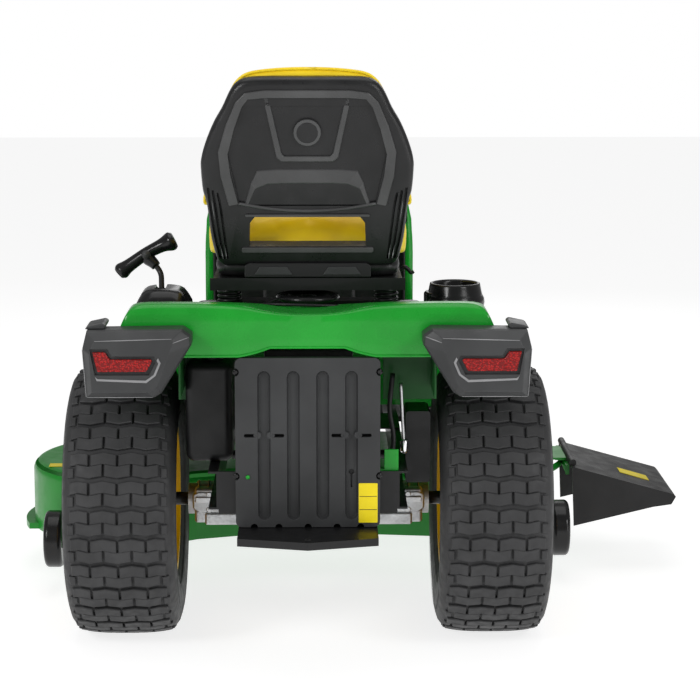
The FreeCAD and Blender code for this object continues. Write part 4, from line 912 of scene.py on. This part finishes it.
def seat_shell():
    """The moulded shell: rolled edge, framed panel, centre shield, side louvres with light grey tubes along
    them as painted highlights, and window.
    """
    rings = []
    for inset, y in ((9, -58), (2, -60), (0, -66), (0, -82), (2.5, -88), (8, -91.5), (14, -92.5)):
        rings.append([lean((x, y, z)) for x, z in back_outline(inset)])
    back = loft(
        "seat_back_shell", rings, "shell", "seat", "black_plastic", wrap_columns=True, caps=True,
        replaces=["seat_shell"]
    )
    z = upright
    window = [(-117, z(820)), (117, z(820)), (115, z(868)), (104, z(882)), (-104, z(882)), (-115, z(868))]
    hollow_half = [(119, 1158), (169, 1090), (193, 1012), (187, 932)]
    hollow = hollow_half + [(-x, h) for x, h in hollow_half[::-1]]
    recess = [
        (132, z(1104)), (157, z(1007)), (135, z(903)), (-135, z(903)), (-157, z(1007)), (-132, z(1104))
    ]
    tools = [
        leaned_cutter(window, -130, -10), leaned_cutter(hollow, -71.5, -40),
        leaned_cutter(recess, -110, -87.5)
    ]
    for k in range(3):
        curve = louvre_line(k)
        for sign in (-1, 1):
            outline = [(sign * (x - 2.5), h) for x, h in curve]
            outline += [(sign * (x + 2.5), h) for x, h in curve[::-1]]
            tools.append(leaned_cutter(outline, -120, -74))
    carve(back, *tools)
    sharpen(back, 38)
    bevel(back, 1.2, 2, 40)

    frame_outer = [
        (84, z(1135)), (122, z(1130)), (140, z(1112)), (160, z(1066)), (176, z(1013)), (172, z(965)),
        (157, z(906))
    ]
    frame_inner = [
        (80, z(1120)), (116, z(1117)), (128, z(1102)), (144, z(1058)), (157, z(1008)), (152, z(965)),
        (138, z(908))
    ]
    full_outer = frame_outer[::-1] + [(-x, h) for x, h in frame_outer]
    full_inner = frame_inner[::-1] + [(-x, h) for x, h in frame_inner]
    rows = [
        [lean((x, -90, h)) for x, h in full_outer], [lean((x, -96.5, h)) for x, h in full_outer],
        [lean((x + (2 if x < 0 else -2), -98, h - 1)) for x, h in full_outer],
        [lean((x, -97, h)) for x, h in full_inner], [lean((x, -86, h)) for x, h in full_inner]
    ]
    band = loft("seat_back_frame", rows, "trim", "seat", "black_plastic", wrap_rows=True, smooth=False)
    bevel(band, 1.6, 3, 15)

    outer = [(-88, 1127), (-61, 1000), (-51, 992), (51, 992), (61, 1000), (88, 1127)]
    inner = [(-77, 1127), (-51, 1009), (-46, 1003), (46, 1003), (51, 1009), (77, 1127)]
    outline = [(x, z(h)) for x, h in outer + inner[::-1]]
    leaned_slab("seat_back_shield", outline, -92.5, -84, "trim", slot="black_plastic", edge=2.2)

    top = [(-126, 905), (-112, 950), (-100, 974), (-60, 977), (60, 977), (100, 974), (112, 950), (126, 905)]
    low = [(-118, 908), (-104, 940), (-80, 950), (-50, 952), (50, 952), (80, 950), (104, 940), (118, 908)]
    low_front = [(x, h - 3) for x, h in low]
    rows = [
        [lean((x, -86, z(h))) for x, h in top], [lean((x, -90, z(h - 2))) for x, h in top],
        [lean((x, -95.5, z(h))) for x, h in low], [lean((x, -94, z(h))) for x, h in low_front]
    ]
    piece = loft("seat_back_ledge", rows, "trim", "seat", "black_plastic", smooth=False)
    bevel(piece, 1.6, 3, 12)
    rows = [
        [lean((x, -94.2, z(h))) for x, h in low_front], [lean((x, -92.5, z(906))) for x, _ in low_front]
    ]
    loft("seat_back_ledge_face", rows, "shell", "seat", "black_plastic", smooth=False)

    path = [lean((x, -93, z(h))) for x, h in ((-137, 908), (-70, 897), (0, 893), (70, 897), (137, 908))]
    tube("seat_lip_upper", path, 3.4, "trim", "seat", "black_plastic", sides=10, samples=24)
    lip = moved(rounded_box(124, 2.6, 2.4), 0, z(884))
    leaned_slab("seat_lip_window", lip, -97, -88, "trim", slot="black_plastic", edge=1.0)
    sill = moved(rounded_box(132, 5.5, 4), 0, z(813))
    leaned_slab("seat_lip_sill", sill, -97, -80, "trim", slot="black_plastic", edge=1.6)

    # Light grey tubes along the louvre slots: painted highlights on the louvre edges.
    for k in range(3):
        for sign, side in ((-1, "left"), (1, "right")):
            path = [lean((sign * (x - 4.6), -90.5, h)) for x, h in louvre_line(k)]
            sizes = [0.8] + [1.7] * (len(path) - 2) + [0.8]
            tube(f"seat_louvre_highlight_{side}_{k}", path, sizes, "highlight", "seat", "black_plastic", sides=8)

    disc = moved(circle(0, 0, 27, 48), 0, z(1051))
    leaned_slab("back_disc_rim", disc, -95.5, -88, "trim", slot="black_plastic", edge=1.5)
    disc = moved(circle(0, 0, 21, 48), 0, z(1051))
    leaned_slab("back_disc_face", disc, -96.5, -92, "shell", slot="black_plastic", edge=1.2)

    tub_rows = []
    for height, inset in ((756, 10), (762, 3), (776, 0), (792, 1), (812, 6), (822, 14)):
        row = []
        for a, b in rounded_box(186 - inset, 192 - inset, 34, 7):
            rear_dip = 20 * float(ease(-b, 120, 185)) * (1 if height > 790 else 0)
            row.append((a, 112 + b, height - rear_dip * 0.6))
        tub_rows.append(row)
    tub = loft("seat_tub", tub_rows, "shell", "seat", "black_plastic", wrap_columns=True, caps=True)
    sharpen(tub, 50)

    slab(
        "seat_bracket", [(-127, 757), (127, 757), (127, 781), (118, 786), (-118, 786), (-127, 781)],
        "XZ", -99, -80, "black_paint", "seat", "black_paint", edge=2
    )
    for sign, side in ((-1, "left"), (1, "right")):
        wedge = [(sign * x, h) for x, h in ((30, 762), (108, 762), (96, 779), (42, 779))]
        slab(f"seat_bracket_pad_{side}", wedge, "XZ", -102, -98, "cover", "seat", "black_paint", edge=1.5)


def closed_form(name, rows, material, body, slot):
    return loft(name, rows, material, body, slot, wrap_columns=True, caps=True)


def stuff(piece, voxel, cap, low, high, freedom, pressure=4.0):
    """Swells a closed form with cloth under pressure, held at its fastened edge, a cap and a box."""
    modify(piece, "REMESH", mode="VOXEL", voxel_size=voxel * MM, use_smooth_shade=True)
    bake(piece)
    start = np.empty(len(piece.data.vertices) * 3)
    piece.data.vertices.foreach_get("co", start)
    start = start.reshape(-1, 3)
    moved_points = start
    cloth = modify(piece, "CLOTH")
    cloth.settings.use_pressure = True
    cloth.settings.uniform_pressure_force = pressure
    cloth.settings.effector_weights.gravity = 0
    cloth.settings.quality = 5
    scene = bpy.context.scene
    for step in range(1, 21):
        scene.frame_set(step)
    bake(piece)
    scene.frame_set(1)
    moved_points = np.empty(len(piece.data.vertices) * 3)
    piece.data.vertices.foreach_get("co", moved_points)
    moved_points = moved_points.reshape(-1, 3)
    shift = moved_points - start
    length = np.linalg.norm(shift, axis=1, keepdims=True)
    shift = shift * np.minimum(1, cap * MM / np.maximum(length, 1e-9)) * freedom(start)[:, None]
    settled = np.clip(start + shift, np.array(low), np.array(high))
    piece.data.vertices.foreach_set("co", settled.ravel())
    piece.data.update()
    return piece


def soften(piece, rounds=6):
    modify(piece, "SMOOTH", factor=0.5, iterations=rounds)
    return bake(piece)


def seat_pad_height(x, y):
    """Top of the seat cushion: crowned thighs, raised bolsters and a dished middle."""
    across = abs(x) / 190
    top = 866 + 10 * float(ease(y, 180, 300)) - 10 * (1 - across**2) * float(ease(250 - y, 0, 160))
    bolster = float(ease(abs(x), 128, 172)) * float(ease(y, -10, 60)) * float(ease(240 - y, 0, 70))
    return top + 34 * bolster


def seat_freedom(points):
    """How freely the seat cushion swells: not at its foot, which the tub holds."""
    return ease(points[:, 2] / MM, 798, 850)


def back_freedom(points):
    """How freely the back cushion swells: not at its rear edge, which is fixed to the shell."""
    y = (points[:, 1] - AXLE_Y) / MM - SEAT_FOOT[0]
    z = points[:, 2] / MM - SEAT_FOOT[1]
    depth = SEAT_FOOT[0] + y * math.cos(SEAT_LEAN) + z * math.sin(SEAT_LEAN)
    return ease(depth, -46, -16)


def back_pad_edge(inset, foot=905):
    """The back cushion's outline: arched over the top, with bolsters low at its sides."""
    edge = []
    for x, h in back_outline(inset):
        arch = 17 * float(ease(h, 1000, 1150)) * (1 - (x / 175) ** 2)
        wide = 1 + 0.07 * float(ease(948 - h, 0, 40))
        edge.append((x * wide, max(h + arch, foot)))
    return edge


def seat_cushions():
    """The seat and back cushions: stuffed yellow vinyl with channels, seams and piping."""
    rows = []
    for level in (0.0, 0.12, 0.5, 0.85, 1.0):
        row = []
        inset = {0.0: 10, 0.12: 4, 0.5: 0, 0.85: 4, 1.0: 14}[level]
        for a, b in rounded_box(196 - inset, 196 - inset, 46, 8):
            y = 152 + b
            wide = 1.0 + 0.13 * float(ease(y, -20, 40)) * float(ease(230 - y, 0, 70))
            top = seat_pad_height(a, y)
            row.append((a * wide, y, 793 + level * (top - 793)))
        rows.append(row)
    lid = []
    for share in (0.8, 0.55, 0.3, 0.1):
        row = []
        for a, b in rounded_box(182 * share, 182 * share, 40 * share, 8):
            row.append((a, 152 + b, seat_pad_height(a, 152 + b)))
        lid.append(row)
    seat_pad = closed_form("seat_cushion_pad", rows + lid, "vinyl", "seat", "yellow_vinyl")
    low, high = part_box("seat_cushion")
    room = Vector((0.014, 0.0, 0.003))
    stuff(seat_pad, 5, 12, low - room, high + room, seat_freedom)
    soften(seat_pad, 4)
    quilt(seat_pad, [("y", 60), ("y", 130), ("y", 200), ("y", 270)], "Z", 120)
    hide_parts("seat_cushion")
    modify(seat_pad, "SUBSURF", levels=1, render_levels=1)
    loop = [(a, 152 + b) for a, b in rounded_box(189, 191, 44, 8)]
    loop.append(loop[0])
    welt = [
        (a * (1.0 + 0.10 * float(ease(y, -20, 40)) * float(ease(230 - y, 0, 70))), y, 806.0) for a,
        y in loop
    ]
    tube("seat_cushion_welt", welt, 3.4, "vinyl", "seat", "yellow_vinyl", sides=8)

    rows = []
    for inset, y in ((14, -58), (5, -50), (2, -38), (3, -24), (12, -12), (32, -6), (60, -5), (110, -7)):
        rows.append([lean((x, y, h)) for x, h in back_pad_edge(inset + 3, 905 + inset * 0.5)])
    back_pad = closed_form("back_cushion_pad", rows, "vinyl", "seat", "yellow_vinyl")
    low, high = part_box("back_cushion")
    room = Vector((0.012, 0.0, 0.014))
    stuff(back_pad, 5, 22, low - room, high + room, back_freedom)
    soften(back_pad, 4)
    quilt(back_pad, [("z", 950), ("z", 1000), ("z", 1050), ("z", 1100)], "Y", 120)
    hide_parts("back_cushion")
    modify(back_pad, "SUBSURF", levels=1, render_levels=1)
    loop = [lean((x, -50, h)) for x, h in back_pad_edge(7)]
    loop.append(loop[0])
    tube("back_cushion_welt", loop, 3.4, "vinyl", "seat", "yellow_vinyl", sides=8)


def quilt(piece, lines, side, reach):
    """Presses sewn channels into a cushion's face."""
    mesh = piece.data
    count = len(mesh.vertices)
    points = np.empty(count * 3)
    normals = np.empty(count * 3)
    mesh.vertices.foreach_get("co", points)
    mesh.vertices.foreach_get("normal", normals)
    points, normals = points.reshape(-1, 3), normals.reshape(-1, 3)
    facing = normals[:, 2] if side == "Z" else normals[:, 1]
    x = np.abs((points[:, 0] - MID_X) / MM)
    inside = 1 - ease(x, reach - 14, reach)
    depth = np.zeros(count)
    for axis, at in lines:
        along = (points[:, 1] - AXLE_Y) / MM if axis == "y" else points[:, 2] / MM
        depth += 5.0 * np.exp(-(((along - at) / 5.0) ** 2)) * inside
    depth += 5.0 * np.exp(-(((x - reach) / 5.0) ** 2))
    depth *= np.clip(facing * 1.6 - 0.3, 0, 1)
    points -= normals * (depth * MM)[:, None]
    mesh.vertices.foreach_set("co", points.ravel())
    mesh.update()


def seat_lever():
    """The wavy latch lever beside the seat."""
    path = [
        (138, 90, 746), (175, 90, 746), (192, 90, 747), (202, 90, 753), (210, 90, 748), (216, 90, 741),
        (222, 90, 744)
    ]
    sizes = [4, 4, 4, 4.5, 4.5, 4, 3.5]
    tube(
        "latch_lever", path, sizes, "black_paint", "seat_latch", "bare_steel", samples=30,
        replaces=["seat_lever"]
    )
    turned(
        "latch_eye", [(0.01, 742), (11, 742), (11, 751), (0.01, 751)], (140, 90, 0), "Z", "black_paint",
        "seat_latch", "bare_steel", steps=24
    )


def springs_and_pan():
    """Coil springs under the pan and the dark works that show below the seat."""
    for sign, side in ((-1, "left"), (1, "right")):
        path = []
        turns, low, high = 5.5, 696.0, 748.0
        for k in range(89):
            share = k / 88
            angle = 2 * math.pi * turns * share
            path.append(
                (
                    sign * 160 + 22 * math.cos(angle), -25 + 22 * math.sin(angle),
                    low + (high - low) * share
                )
            )
        tube(
            f"spring_{side}", path, 3.2, "black_paint", "frame", "black_paint", sides=8,
            replaces=["seat_springs"] if sign < 0 else ()
        )
        cup = [(0.01, 688), (26, 688), (29, 694), (26, 699), (0.01, 700)]
        turned(
            f"spring_cup_{side}", cup, (sign * 160, -25, 0), "Z", "black", "frame", "black_plastic",
            steps=32
        )
    ring = [(36, 0), (60, 0), (65, 6), (62, 12), (50, 14), (40, 9)]
    turned(
        "seat_switch_ring", ring, (0, -60, 706), "Z", "gloss", "frame", "black_plastic", caps=False,
        wrap_rows=True
    )
    cable = [(-60, -110, 716), (-90, -150, 709), (-70, -190, 716), (0, -205, 716), (60, -185, 712)]
    tube("seat_switch_lead", cable, 3.0, "black", "frame", "black_plastic", samples=30)


# ---------------------------------------------------------------- fittings on the fender
def fittings():
    rim = [
        (44, 646), (45, 720), (46, 724), (49, 726), (52, 725), (53, 721), (56, 706), (58, 700),
        (58, 694), (50, 690), (49, 640), (0.01, 640), (0.01, 644), (44, 646)
    ]
    turned(
        "cup_well", rim, (306, 50, 0), "Z", "gloss", "frame", "black_gloss", caps=False,
        replaces=["cup_holder"]
    )
    lobe = [(246, 28), (262, 20), (270, 50), (262, 80), (246, 72), (241, 50)]
    slab("cup_lobe", lobe, "XY", 680, 708, "gloss", "frame", "black_gloss", edge=5, segments=3)
    skirt = [(58, 700), (61, 694), (62, 686), (60, 672), (56, 668)]
    turned("cup_skirt", skirt, (306, 50, 0), "Z", "gloss", "frame", "black_gloss", caps=False)

    for sign, side in ((-1, "left"), (1, "right")):
        x = 190 if sign < 0 else 196
        cap = [(0.01, 704), (31, 704), (31.5, 709), (30, 713), (26, 715.5), (18, 714.5), (0.01, 714.5)]
        body = "tank_cap" if sign < 0 else "frame"
        extra = {"replaces": ["fuel_cap"]} if sign < 0 else {}
        turned(f"disc_cap_{side}", cap, (sign * x, -150, 0), "Z", "gloss", body, "black_gloss", **extra)
        for k in range(16):
            angle = 2 * math.pi * k / 16
            a, b = sign * x + 31 * math.cos(angle), -150 + 31 * math.sin(angle)
            tube(
                f"disc_knurl_{side}_{k}", [(a, b, 708), (a, b, 712.5)], 1.6, "gloss", body,
                "black_gloss", sides=6
            )

    rows = []
    for z, inset in ((650, 0), (666, 2), (680, 9), (692, 17), (697, 24), (699.5, 32)):
        rows.append([(a - 309, b + 180, z) for a, b in rounded_box(60 - inset, 77 - inset, 26, 6)])
    console = loft(
        "lever_boot", rows, "gloss", "frame", "black_plastic", wrap_columns=True, caps=True,
        replaces=["lever_console"]
    )
    carve(console, cutter(*prism_data(moved(rounded_box(12, 44, 5), -316, 198), "XY", 630, 720)))
    sharpen(console, 40)

    stem = [
        (-316, 180, 600), (-316, 205, 655), (-317, 228, 700), (-320, 240, 722), (-334, 246, 742),
        (-350, 250, 758)
    ]
    tube(
        "lift_stem", stem, 6.0, "black_paint", "lift_handle", "black_paint", samples=24,
        replaces=["lift_lever"]
    )
    turned("lift_hub", [(8, -22), (8, 22)], (-316, 180, 600), "X", "steel", "lift_handle", "bare_steel")
    neck = [(-329, 244, 736), (-337, 247, 744), (-347, 250, 752), (-354, 251, 760)]
    tube(
        "lift_neck", neck, [10.5, 12.5, 14.5, 13], "gloss", "lift_handle", "black_gloss", sides=10,
        samples=10
    )
    grip = [
        (-411, 250, 719), (-404, 250, 725), (-388, 250, 737), (-352, 250, 762), (-318, 250, 780),
        (-298, 250, 789), (-290, 250, 793)
    ]
    sizes = [13, 18, 14.5, 13.5, 15, 21, 17]
    tube("lift_grip", grip, sizes, "gloss", "lift_handle", "black_gloss", sides=20, samples=36)
    button = [(0.01, 0), (9, 0), (10, -3), (8, -7), (0.01, -8)]
    turned("lift_button", button, (-350, 238, 762), "Y", "cover", "lift_handle", "black_gloss", steps=24)


# ---------------------------------------------------------------- drive, deck and controls
def drive_details():
    for sign, side in ((-1, "left"), (1, "right")):
        flange = [(30, 150), (44, 151), (46, 157), (40, 160), (31, 161)]
        flange = [(r, sign * x) for r, x in flange]
        turned(
            f"axle_flange_{side}", flange, (0, 0, REAR_AXLE_Z), "X", "aluminium", "frame",
            "bare_aluminium", caps=False, wrap_rows=True
        )
        for k in range(4):
            x = sign * (168 + 20 * k)
            rib = [(32.5, -2), (38, -1), (38, 1), (32.5, 2)]
            turned(
                f"axle_rib_{side}_{k}", rib, (x, 0, REAR_AXLE_Z), "X", "aluminium", "frame",
                "bare_aluminium", steps=32, caps=False, wrap_rows=True
            )
        for k, (y, z) in enumerate(((-38, 264), (-38, 296))):
            bolt(f"axle_bolt_{side}_{k}", (sign * 206, y, z), "Y", 6.5, -8, "frame", "bare_steel", "plate")
        block = [
            (sign * x, z) for x,
            z in ((152, 257), (228, 257), (240, 266), (240, 296), (228, 303), (152, 300))
        ]
        slab(
            f"axle_block_{side}", block, "XZ", -44, -8, "aluminium", "frame", "bare_aluminium", edge=4,
            segments=3
        )
        pad = [(sign * x, z) for x, z in ((186, 280), (234, 280), (234, 292), (186, 292))]
        slab(f"axle_pad_{side}", pad, "XZ", -49, -43, "plate", "frame", "bare_aluminium", edge=2)
        sleeve = [(13.6, sign * 238), (13.6, sign * 345)]
        turned(
            f"axle_sleeve_{side}", sleeve, (0, 0, REAR_AXLE_Z), "X", "black_paint",
            f"rear_wheel_{side}", "black_paint"
        )
        low, high = (348, 394) if sign < 0 else (346, 438)
        channel = [(sign * x, z) for x, z in ((150, low), (178, low), (178, high), (150, high))]
        slab(f"rear_channel_{side}", channel, "XZ", -262, -258, "green", "frame", "green_paint", edge=1)
    link = [(192, -203, 418), (190, -204, 450), (187, -205, 500), (184, -204, 560)]
    tube("free_wheel_rod", link, 3.4, "steel", "frame", "bare_steel", samples=28)
    nut = [(0.01, 0), (7, 0), (8, 4), (8, 22), (7, 26), (0.01, 26)]
    turned("free_wheel_nut", nut, (191, -203, 420), "Z", "chrome", "frame", "bare_steel", steps=16)
    hose = [(168, -210, 330), (162, -214, 390), (170, -212, 450), (162, -210, 510), (168, -206, 580)]
    tube("brake_hose", hose, 5.0, "black", "frame", "black_plastic", samples=28)
    turned(
        "cover_clip", [(0.01, 0), (4, 0), (4, -3), (0.01, -4)], (-117, -300, 392), "Y", "green",
        "frame", "green_plastic", steps=20
    )


def deck_details():
    label = moved(rounded_box(24, 16, 2), -571, 450)
    slab("deck_label", label, "XY", 250.4, 251.2, "label", "deck", "yellow_plastic", edge=0.2)
    for k, y in enumerate((460, 520, 575, 630, 690)):
        rib = [(604, 247.5), (640, 236), (640, 231), (604, 240)]
        slab(f"chute_rib_{k}", rib, "XZ", y - 2.5, y + 2.5, "black", "chute", "black_plastic", edge=1)
    top = [(724, 520), (792, 516), (792, 566), (724, 570)]
    points = []
    for height in (0.4, 1.4):
        for x, y in top:
            points.append((x, y, 247 + (x - 602) / (836 - 602) * (182 - 247) + height))
    faces = [[0, 1, 2, 3], [7, 6, 5, 4]] + [[i, (i + 1) % 4, 4 + (i + 1) % 4, 4 + i] for i in range(4)]
    make("chute_label", points, faces, "label", "chute", "yellow_plastic", smooth=False)
    for side, x, y in (("left", -568, 300), ("right", 569, 385)):
        for sign in (-1, 1):
            hub = [(0.01, 18), (14, 18), (16, 20.5), (12, 22), (0.01, 22)]
            hub = [(r, sign * a) for r, a in hub]
            turned(
                f"gauge_hub_{side}_{'in' if sign < 0 else 'out'}", hub, (x, y, 116), "X", "steel",
                f"gauge_{side}", "bare_steel", steps=24
            )


def mats():
    """Ribbed rubber mats on the foot platforms."""
    for sign, side in ((-1, "left"), (1, "right")):
        for k in range(12):
            y = 470 + 38 * k
            line = [sign * 250, sign * 452]
            low, high = min(line), max(line)
            slab(
                f"mat_rib_{side}_{k}", [(low, y), (high, y), (high, y + 14), (low, y + 14)], "XY",
                364.2, 368, "mat", "frame", "black_plastic", edge=1.2
            )


def hood_half(y):
    """Right half of the hood's section at y, from its foot up to the crown, as (x, z)."""
    wide = float(np.interp(y, [785, 1190, 1388, 1488, 1544, 1558], [250, 240, 218, 184, 122, 64]))
    top = float(
        np.interp(y, [785, 1050, 1338, 1478, 1534, 1552, 1558], [935, 917, 873, 827, 775, 735, 712])
    )
    foot = 480 if y < 1408 else 640
    fall = min(1.0, (top - foot) / 240)
    half = [
        (250, foot), (250, foot + 0.4 * (top - foot)), (248, top - 190 * fall), (238, top - 122 * fall),
        (222, top - 78 * fall), (200, top - 38 * fall), (160, top - 12 * fall), (110, top - 2 * fall),
        (0, top)
    ]
    return [(x * wide / 250, z) for x, z in smooth_line(half, 30)]


def cut_window(piece, x_range, z_range, y_from):
    """Opens a sheet inside a box that is seen from the front."""
    work = bmesh.new()
    work.from_mesh(piece.data)
    for axis, limits in (((1, 0, 0), x_range), ((0, 0, 1), z_range)):
        for limit in limits:
            point = place([limit * a for a in axis])
            everything = work.verts[:] + work.edges[:] + work.faces[:]
            bmesh.ops.bisect_plane(work, geom=everything, plane_co=point, plane_no=axis, dist=1e-6)
    low = place((x_range[0], y_from, z_range[0]))
    high = place((x_range[1], 0, z_range[1]))
    gone = []
    for face in work.faces:
        middle = face.calc_center_median()
        inside = low.x < middle.x < high.x and low.z < middle.z < high.z
        if inside and middle.y > low.y:
            gone.append(face)
    bmesh.ops.delete(work, geom=gone, context="FACES")
    work.to_mesh(piece.data)
    work.free()


def hood_shell():
    """The hood as one crowned sheet drawn through sections from the dash to the nose."""
    stations = [785, 830, 900, 980, 1050, 1130, 1210, 1290, 1350, 1400, 1407, 1409, 1440, 1480, 1510]
    stations += [1530, 1543, 1552, 1556, 1558]
    rows = []
    for y in stations:
        right = hood_half(y)
        rows.append([(x, y, z) for x, z in right] + [(-x, y, z) for x, z in right[-2::-1]])
    rows.append([(0, 1558, z) for _, _, z in rows[-1]])
    hood = loft("hood_skin", rows, "green", "hood_body", "green_paint", replaces=["hood"])
    cut_window(hood, (64, 178), (670, 732), 1480)
    cut_window(hood, (-178, -64), (670, 732), 1480)
    thicken(hood, 4.0, 1.0 if shell_faces_in(hood) else -1.0)
    bake(hood)
    sharpen(hood, 40)
    for sign, side in ((-1, "left"), (1, "right")):
        for k in range(7):
            z = 560 + 22 * k
            slat = [(1010 + 6 * k, z), (1190 - 8 * k, z + 3), (1190 - 8 * k, z + 12), (1010 + 6 * k, z + 9)]
            low, high = sorted((sign * 238, sign * 246))
            slab(
                f"hood_louvre_{side}_{k}", slat, "YZ", low, high, "black", "hood_body", "black_plastic",
                edge=1.5
            )
        flange = [(250, 484), (250, 700), (246, 780), (236, 826), (216, 872)]
        inner = [(x - 22, z) for x, z in flange]
        rows = [[(sign * x, 785.5, z) for x, z in flange], [(sign * x, 786.5, z) for x, z in inner]]
        thicken(loft(f"hood_flange_{side}", rows, "green", "hood_body", "green_paint"), 2.0, 0.0)
        seal = [
            (sign * 228, 787, 484), (sign * 228, 787, 700), (sign * 224, 787, 780),
            (sign * 214, 787, 822)
        ]
        tube(f"hood_seal_{side}", seal, 4, "black", "hood_body", "black_plastic", samples=24)
    for k in range(6):
        z = 488 + 24 * k
        plan = [(205, 1418), (186, 1482), (124, 1541), (62, 1556)]
        path = [(x, y, z) for x, y in plan] + [(-x, y, z) for x, y in plan[::-1]]
        tube(f"grille_bar_{k}", path, 4.5, "gloss", "hood_body", "black_plastic", sides=10)


def steering_wheel():
    """A gripped rim with three moulded spokes and a domed hub, on the tilted column."""
    tilt = math.radians(20)
    c, s = math.cos(tilt), math.sin(tilt)

    def tilted(x, y, z):
        return (x, 600 + y * c - z * s, 1010 + y * s + z * c)

    rim_rows = []
    for k in range(96):
        turn = 2 * math.pi * k / 96
        row = []
        for m in range(14):
            around = 2 * math.pi * m / 14
            waist = 13 - 0.8 * (1 + math.cos(24 * turn)) / 2
            r = 175 + waist * math.cos(around)
            row.append(tilted(r * math.cos(turn), r * math.sin(turn), waist * math.sin(around)))
        rim_rows.append(row)
    loft(
        "steering_rim", rim_rows, "gloss", "steering", "black_plastic", wrap_rows=True,
        wrap_columns=True, replaces=["steering_wheel"]
    )
    for degrees in (90, 210, 330):
        turn = math.radians(degrees)
        rows = []
        for r, half, z0, z1 in ((24, 30, -16, -2), (60, 20, -15, -4), (120, 15, -12, -3), (172, 17, -8, 2)):
            row = []
            for a, b in (
                (-half, z0), (half, z0), (half, z1 - 2), (half - 4, z1), (4 - half, z1), (-half, z1 - 2)
            ):
                row.append(
                    tilted(
                        r * math.cos(turn) - a * math.sin(turn),
                        r * math.sin(turn) + a * math.cos(turn), b
                    )
                )
            rows.append(row)
        piece = loft(
            f"steering_spoke_{degrees}", rows, "black", "steering", "black_plastic", wrap_columns=True,
            caps=True, smooth=False
        )
        bevel(piece, 1.5, 3, 20)
    for name, profile, material in (
        (
            "steering_hub", [(0.01, -46), (30, -46), (38, -30), (40, -8), (38, 2), (30, 7), (0.01, 9)],
            "black"
        ),
        ("steering_cap", [(0.01, 7), (24, 6), (26, 9), (22, 12), (0.01, 14)], "gloss"),
        ("steering_shaft", [(11, -470), (11, -44)], "steel")
    ):
        rows = []
        for r, z in profile:
            rows.append(
                [
                    tilted(r * math.cos(t), r * math.sin(t), z)
                    for t in np.linspace(0, 2 * math.pi, 37)[:-1]
                ]
            )
        slot = "bare_steel" if material == "steel" else "black_plastic"
        loft(name, rows, material, "steering", slot, wrap_columns=True, caps=True)


# ---------------------------------------------------------------- stage
def studio():
    scene = bpy.context.scene
    scene.view_settings.view_transform = "Standard"
    world = bpy.data.worlds.new("studio")
    world.use_nodes = True
    tree = world.node_tree
    white = tree.nodes["Background"]
    white.inputs["Color"].default_value = (1.0, 1.0, 1.0, 1)
    white.inputs["Strength"].default_value = 1.0
    dim = tree.nodes.new("ShaderNodeBackground")
    dim.inputs["Color"].default_value = (1.0, 1.0, 1.0, 1)
    dim.inputs["Strength"].default_value = 0.32
    rays = tree.nodes.new("ShaderNodeLightPath")
    choice = tree.nodes.new("ShaderNodeMixShader")
    tree.links.new(rays.outputs["Is Camera Ray"], choice.inputs["Fac"])
    tree.links.new(dim.outputs["Background"], choice.inputs[1])
    tree.links.new(white.outputs["Background"], choice.inputs[2])
    tree.links.new(choice.outputs["Shader"], tree.nodes["World Output"].inputs["Surface"])
    scene.world = world

    floor = bpy.data.meshes.new("floor")
    size = 14.0
    floor.from_pydata(
        [(-size, -size, 0), (size, -size, 0), (size, size, 0), (-size, size, 0)], [], [(0, 1, 2, 3)]
    )
    ground = bpy.data.objects.new("floor", floor)
    scene.collection.objects.link(ground)
    n = Nodes("pale_floor")
    n.set(Base_Color=(0.45, 0.45, 0.45, 1), Roughness=0.9, Specular_IOR_Level=0.05)
    n.set(Emission_Color=(1.0, 1.0, 1.0, 1), Emission_Strength=0.78)
    floor.materials.append(n.material)

    lamps = (
        ("key", (-2600, -2900, 2300), 1700, 1.2, (0, 0, 500)),
        ("fill", (2500, -2700, 2500), 1000, 1.2, (0, 0, 500)),
        ("top", (0, 300, 3300), 700, 2.4, (0, 200, 500)),
        ("front", (600, 4200, 2200), 500, 2.2, (0, 600, 500)),
        ("low", (3100, -2500, 700), 500, 1.2, (0, 0, 500))
    )
    for name, spot, power, width, target in lamps:
        data = bpy.data.lights.new(name, "AREA")
        data.energy = power * 0.035
        data.size = width
        lamp = bpy.data.objects.new(name, data)
        lamp.location = place(spot)
        lamp.rotation_euler = (place(target) - place(spot)).to_track_quat("-Z", "Y").to_euler()
        scene.collection.objects.link(lamp)

    data = bpy.data.cameras.new("camera")
    data.lens = 36 * 2206 / 700
    data.sensor_width = 36
    data.clip_end = 50
    camera = bpy.data.objects.new("camera", data)
    camera.location = place((19, -4500, 1350))
    camera.rotation_euler = (math.radians(90 - 9.56), 0, math.radians(-0.86))
    scene.collection.objects.link(camera)
    scene.camera = camera


finish_kept_nodes()
wheels()
fender()
for side_name, side_sign in (("left", -1), ("right", 1)):
    light_pod(side_name, side_sign)
rear_cover()
seat_shell()
seat_cushions()
seat_lever()
springs_and_pan()
fittings()
drive_details()
deck_details()
mats()
hood_shell()
steering_wheel()
studio()
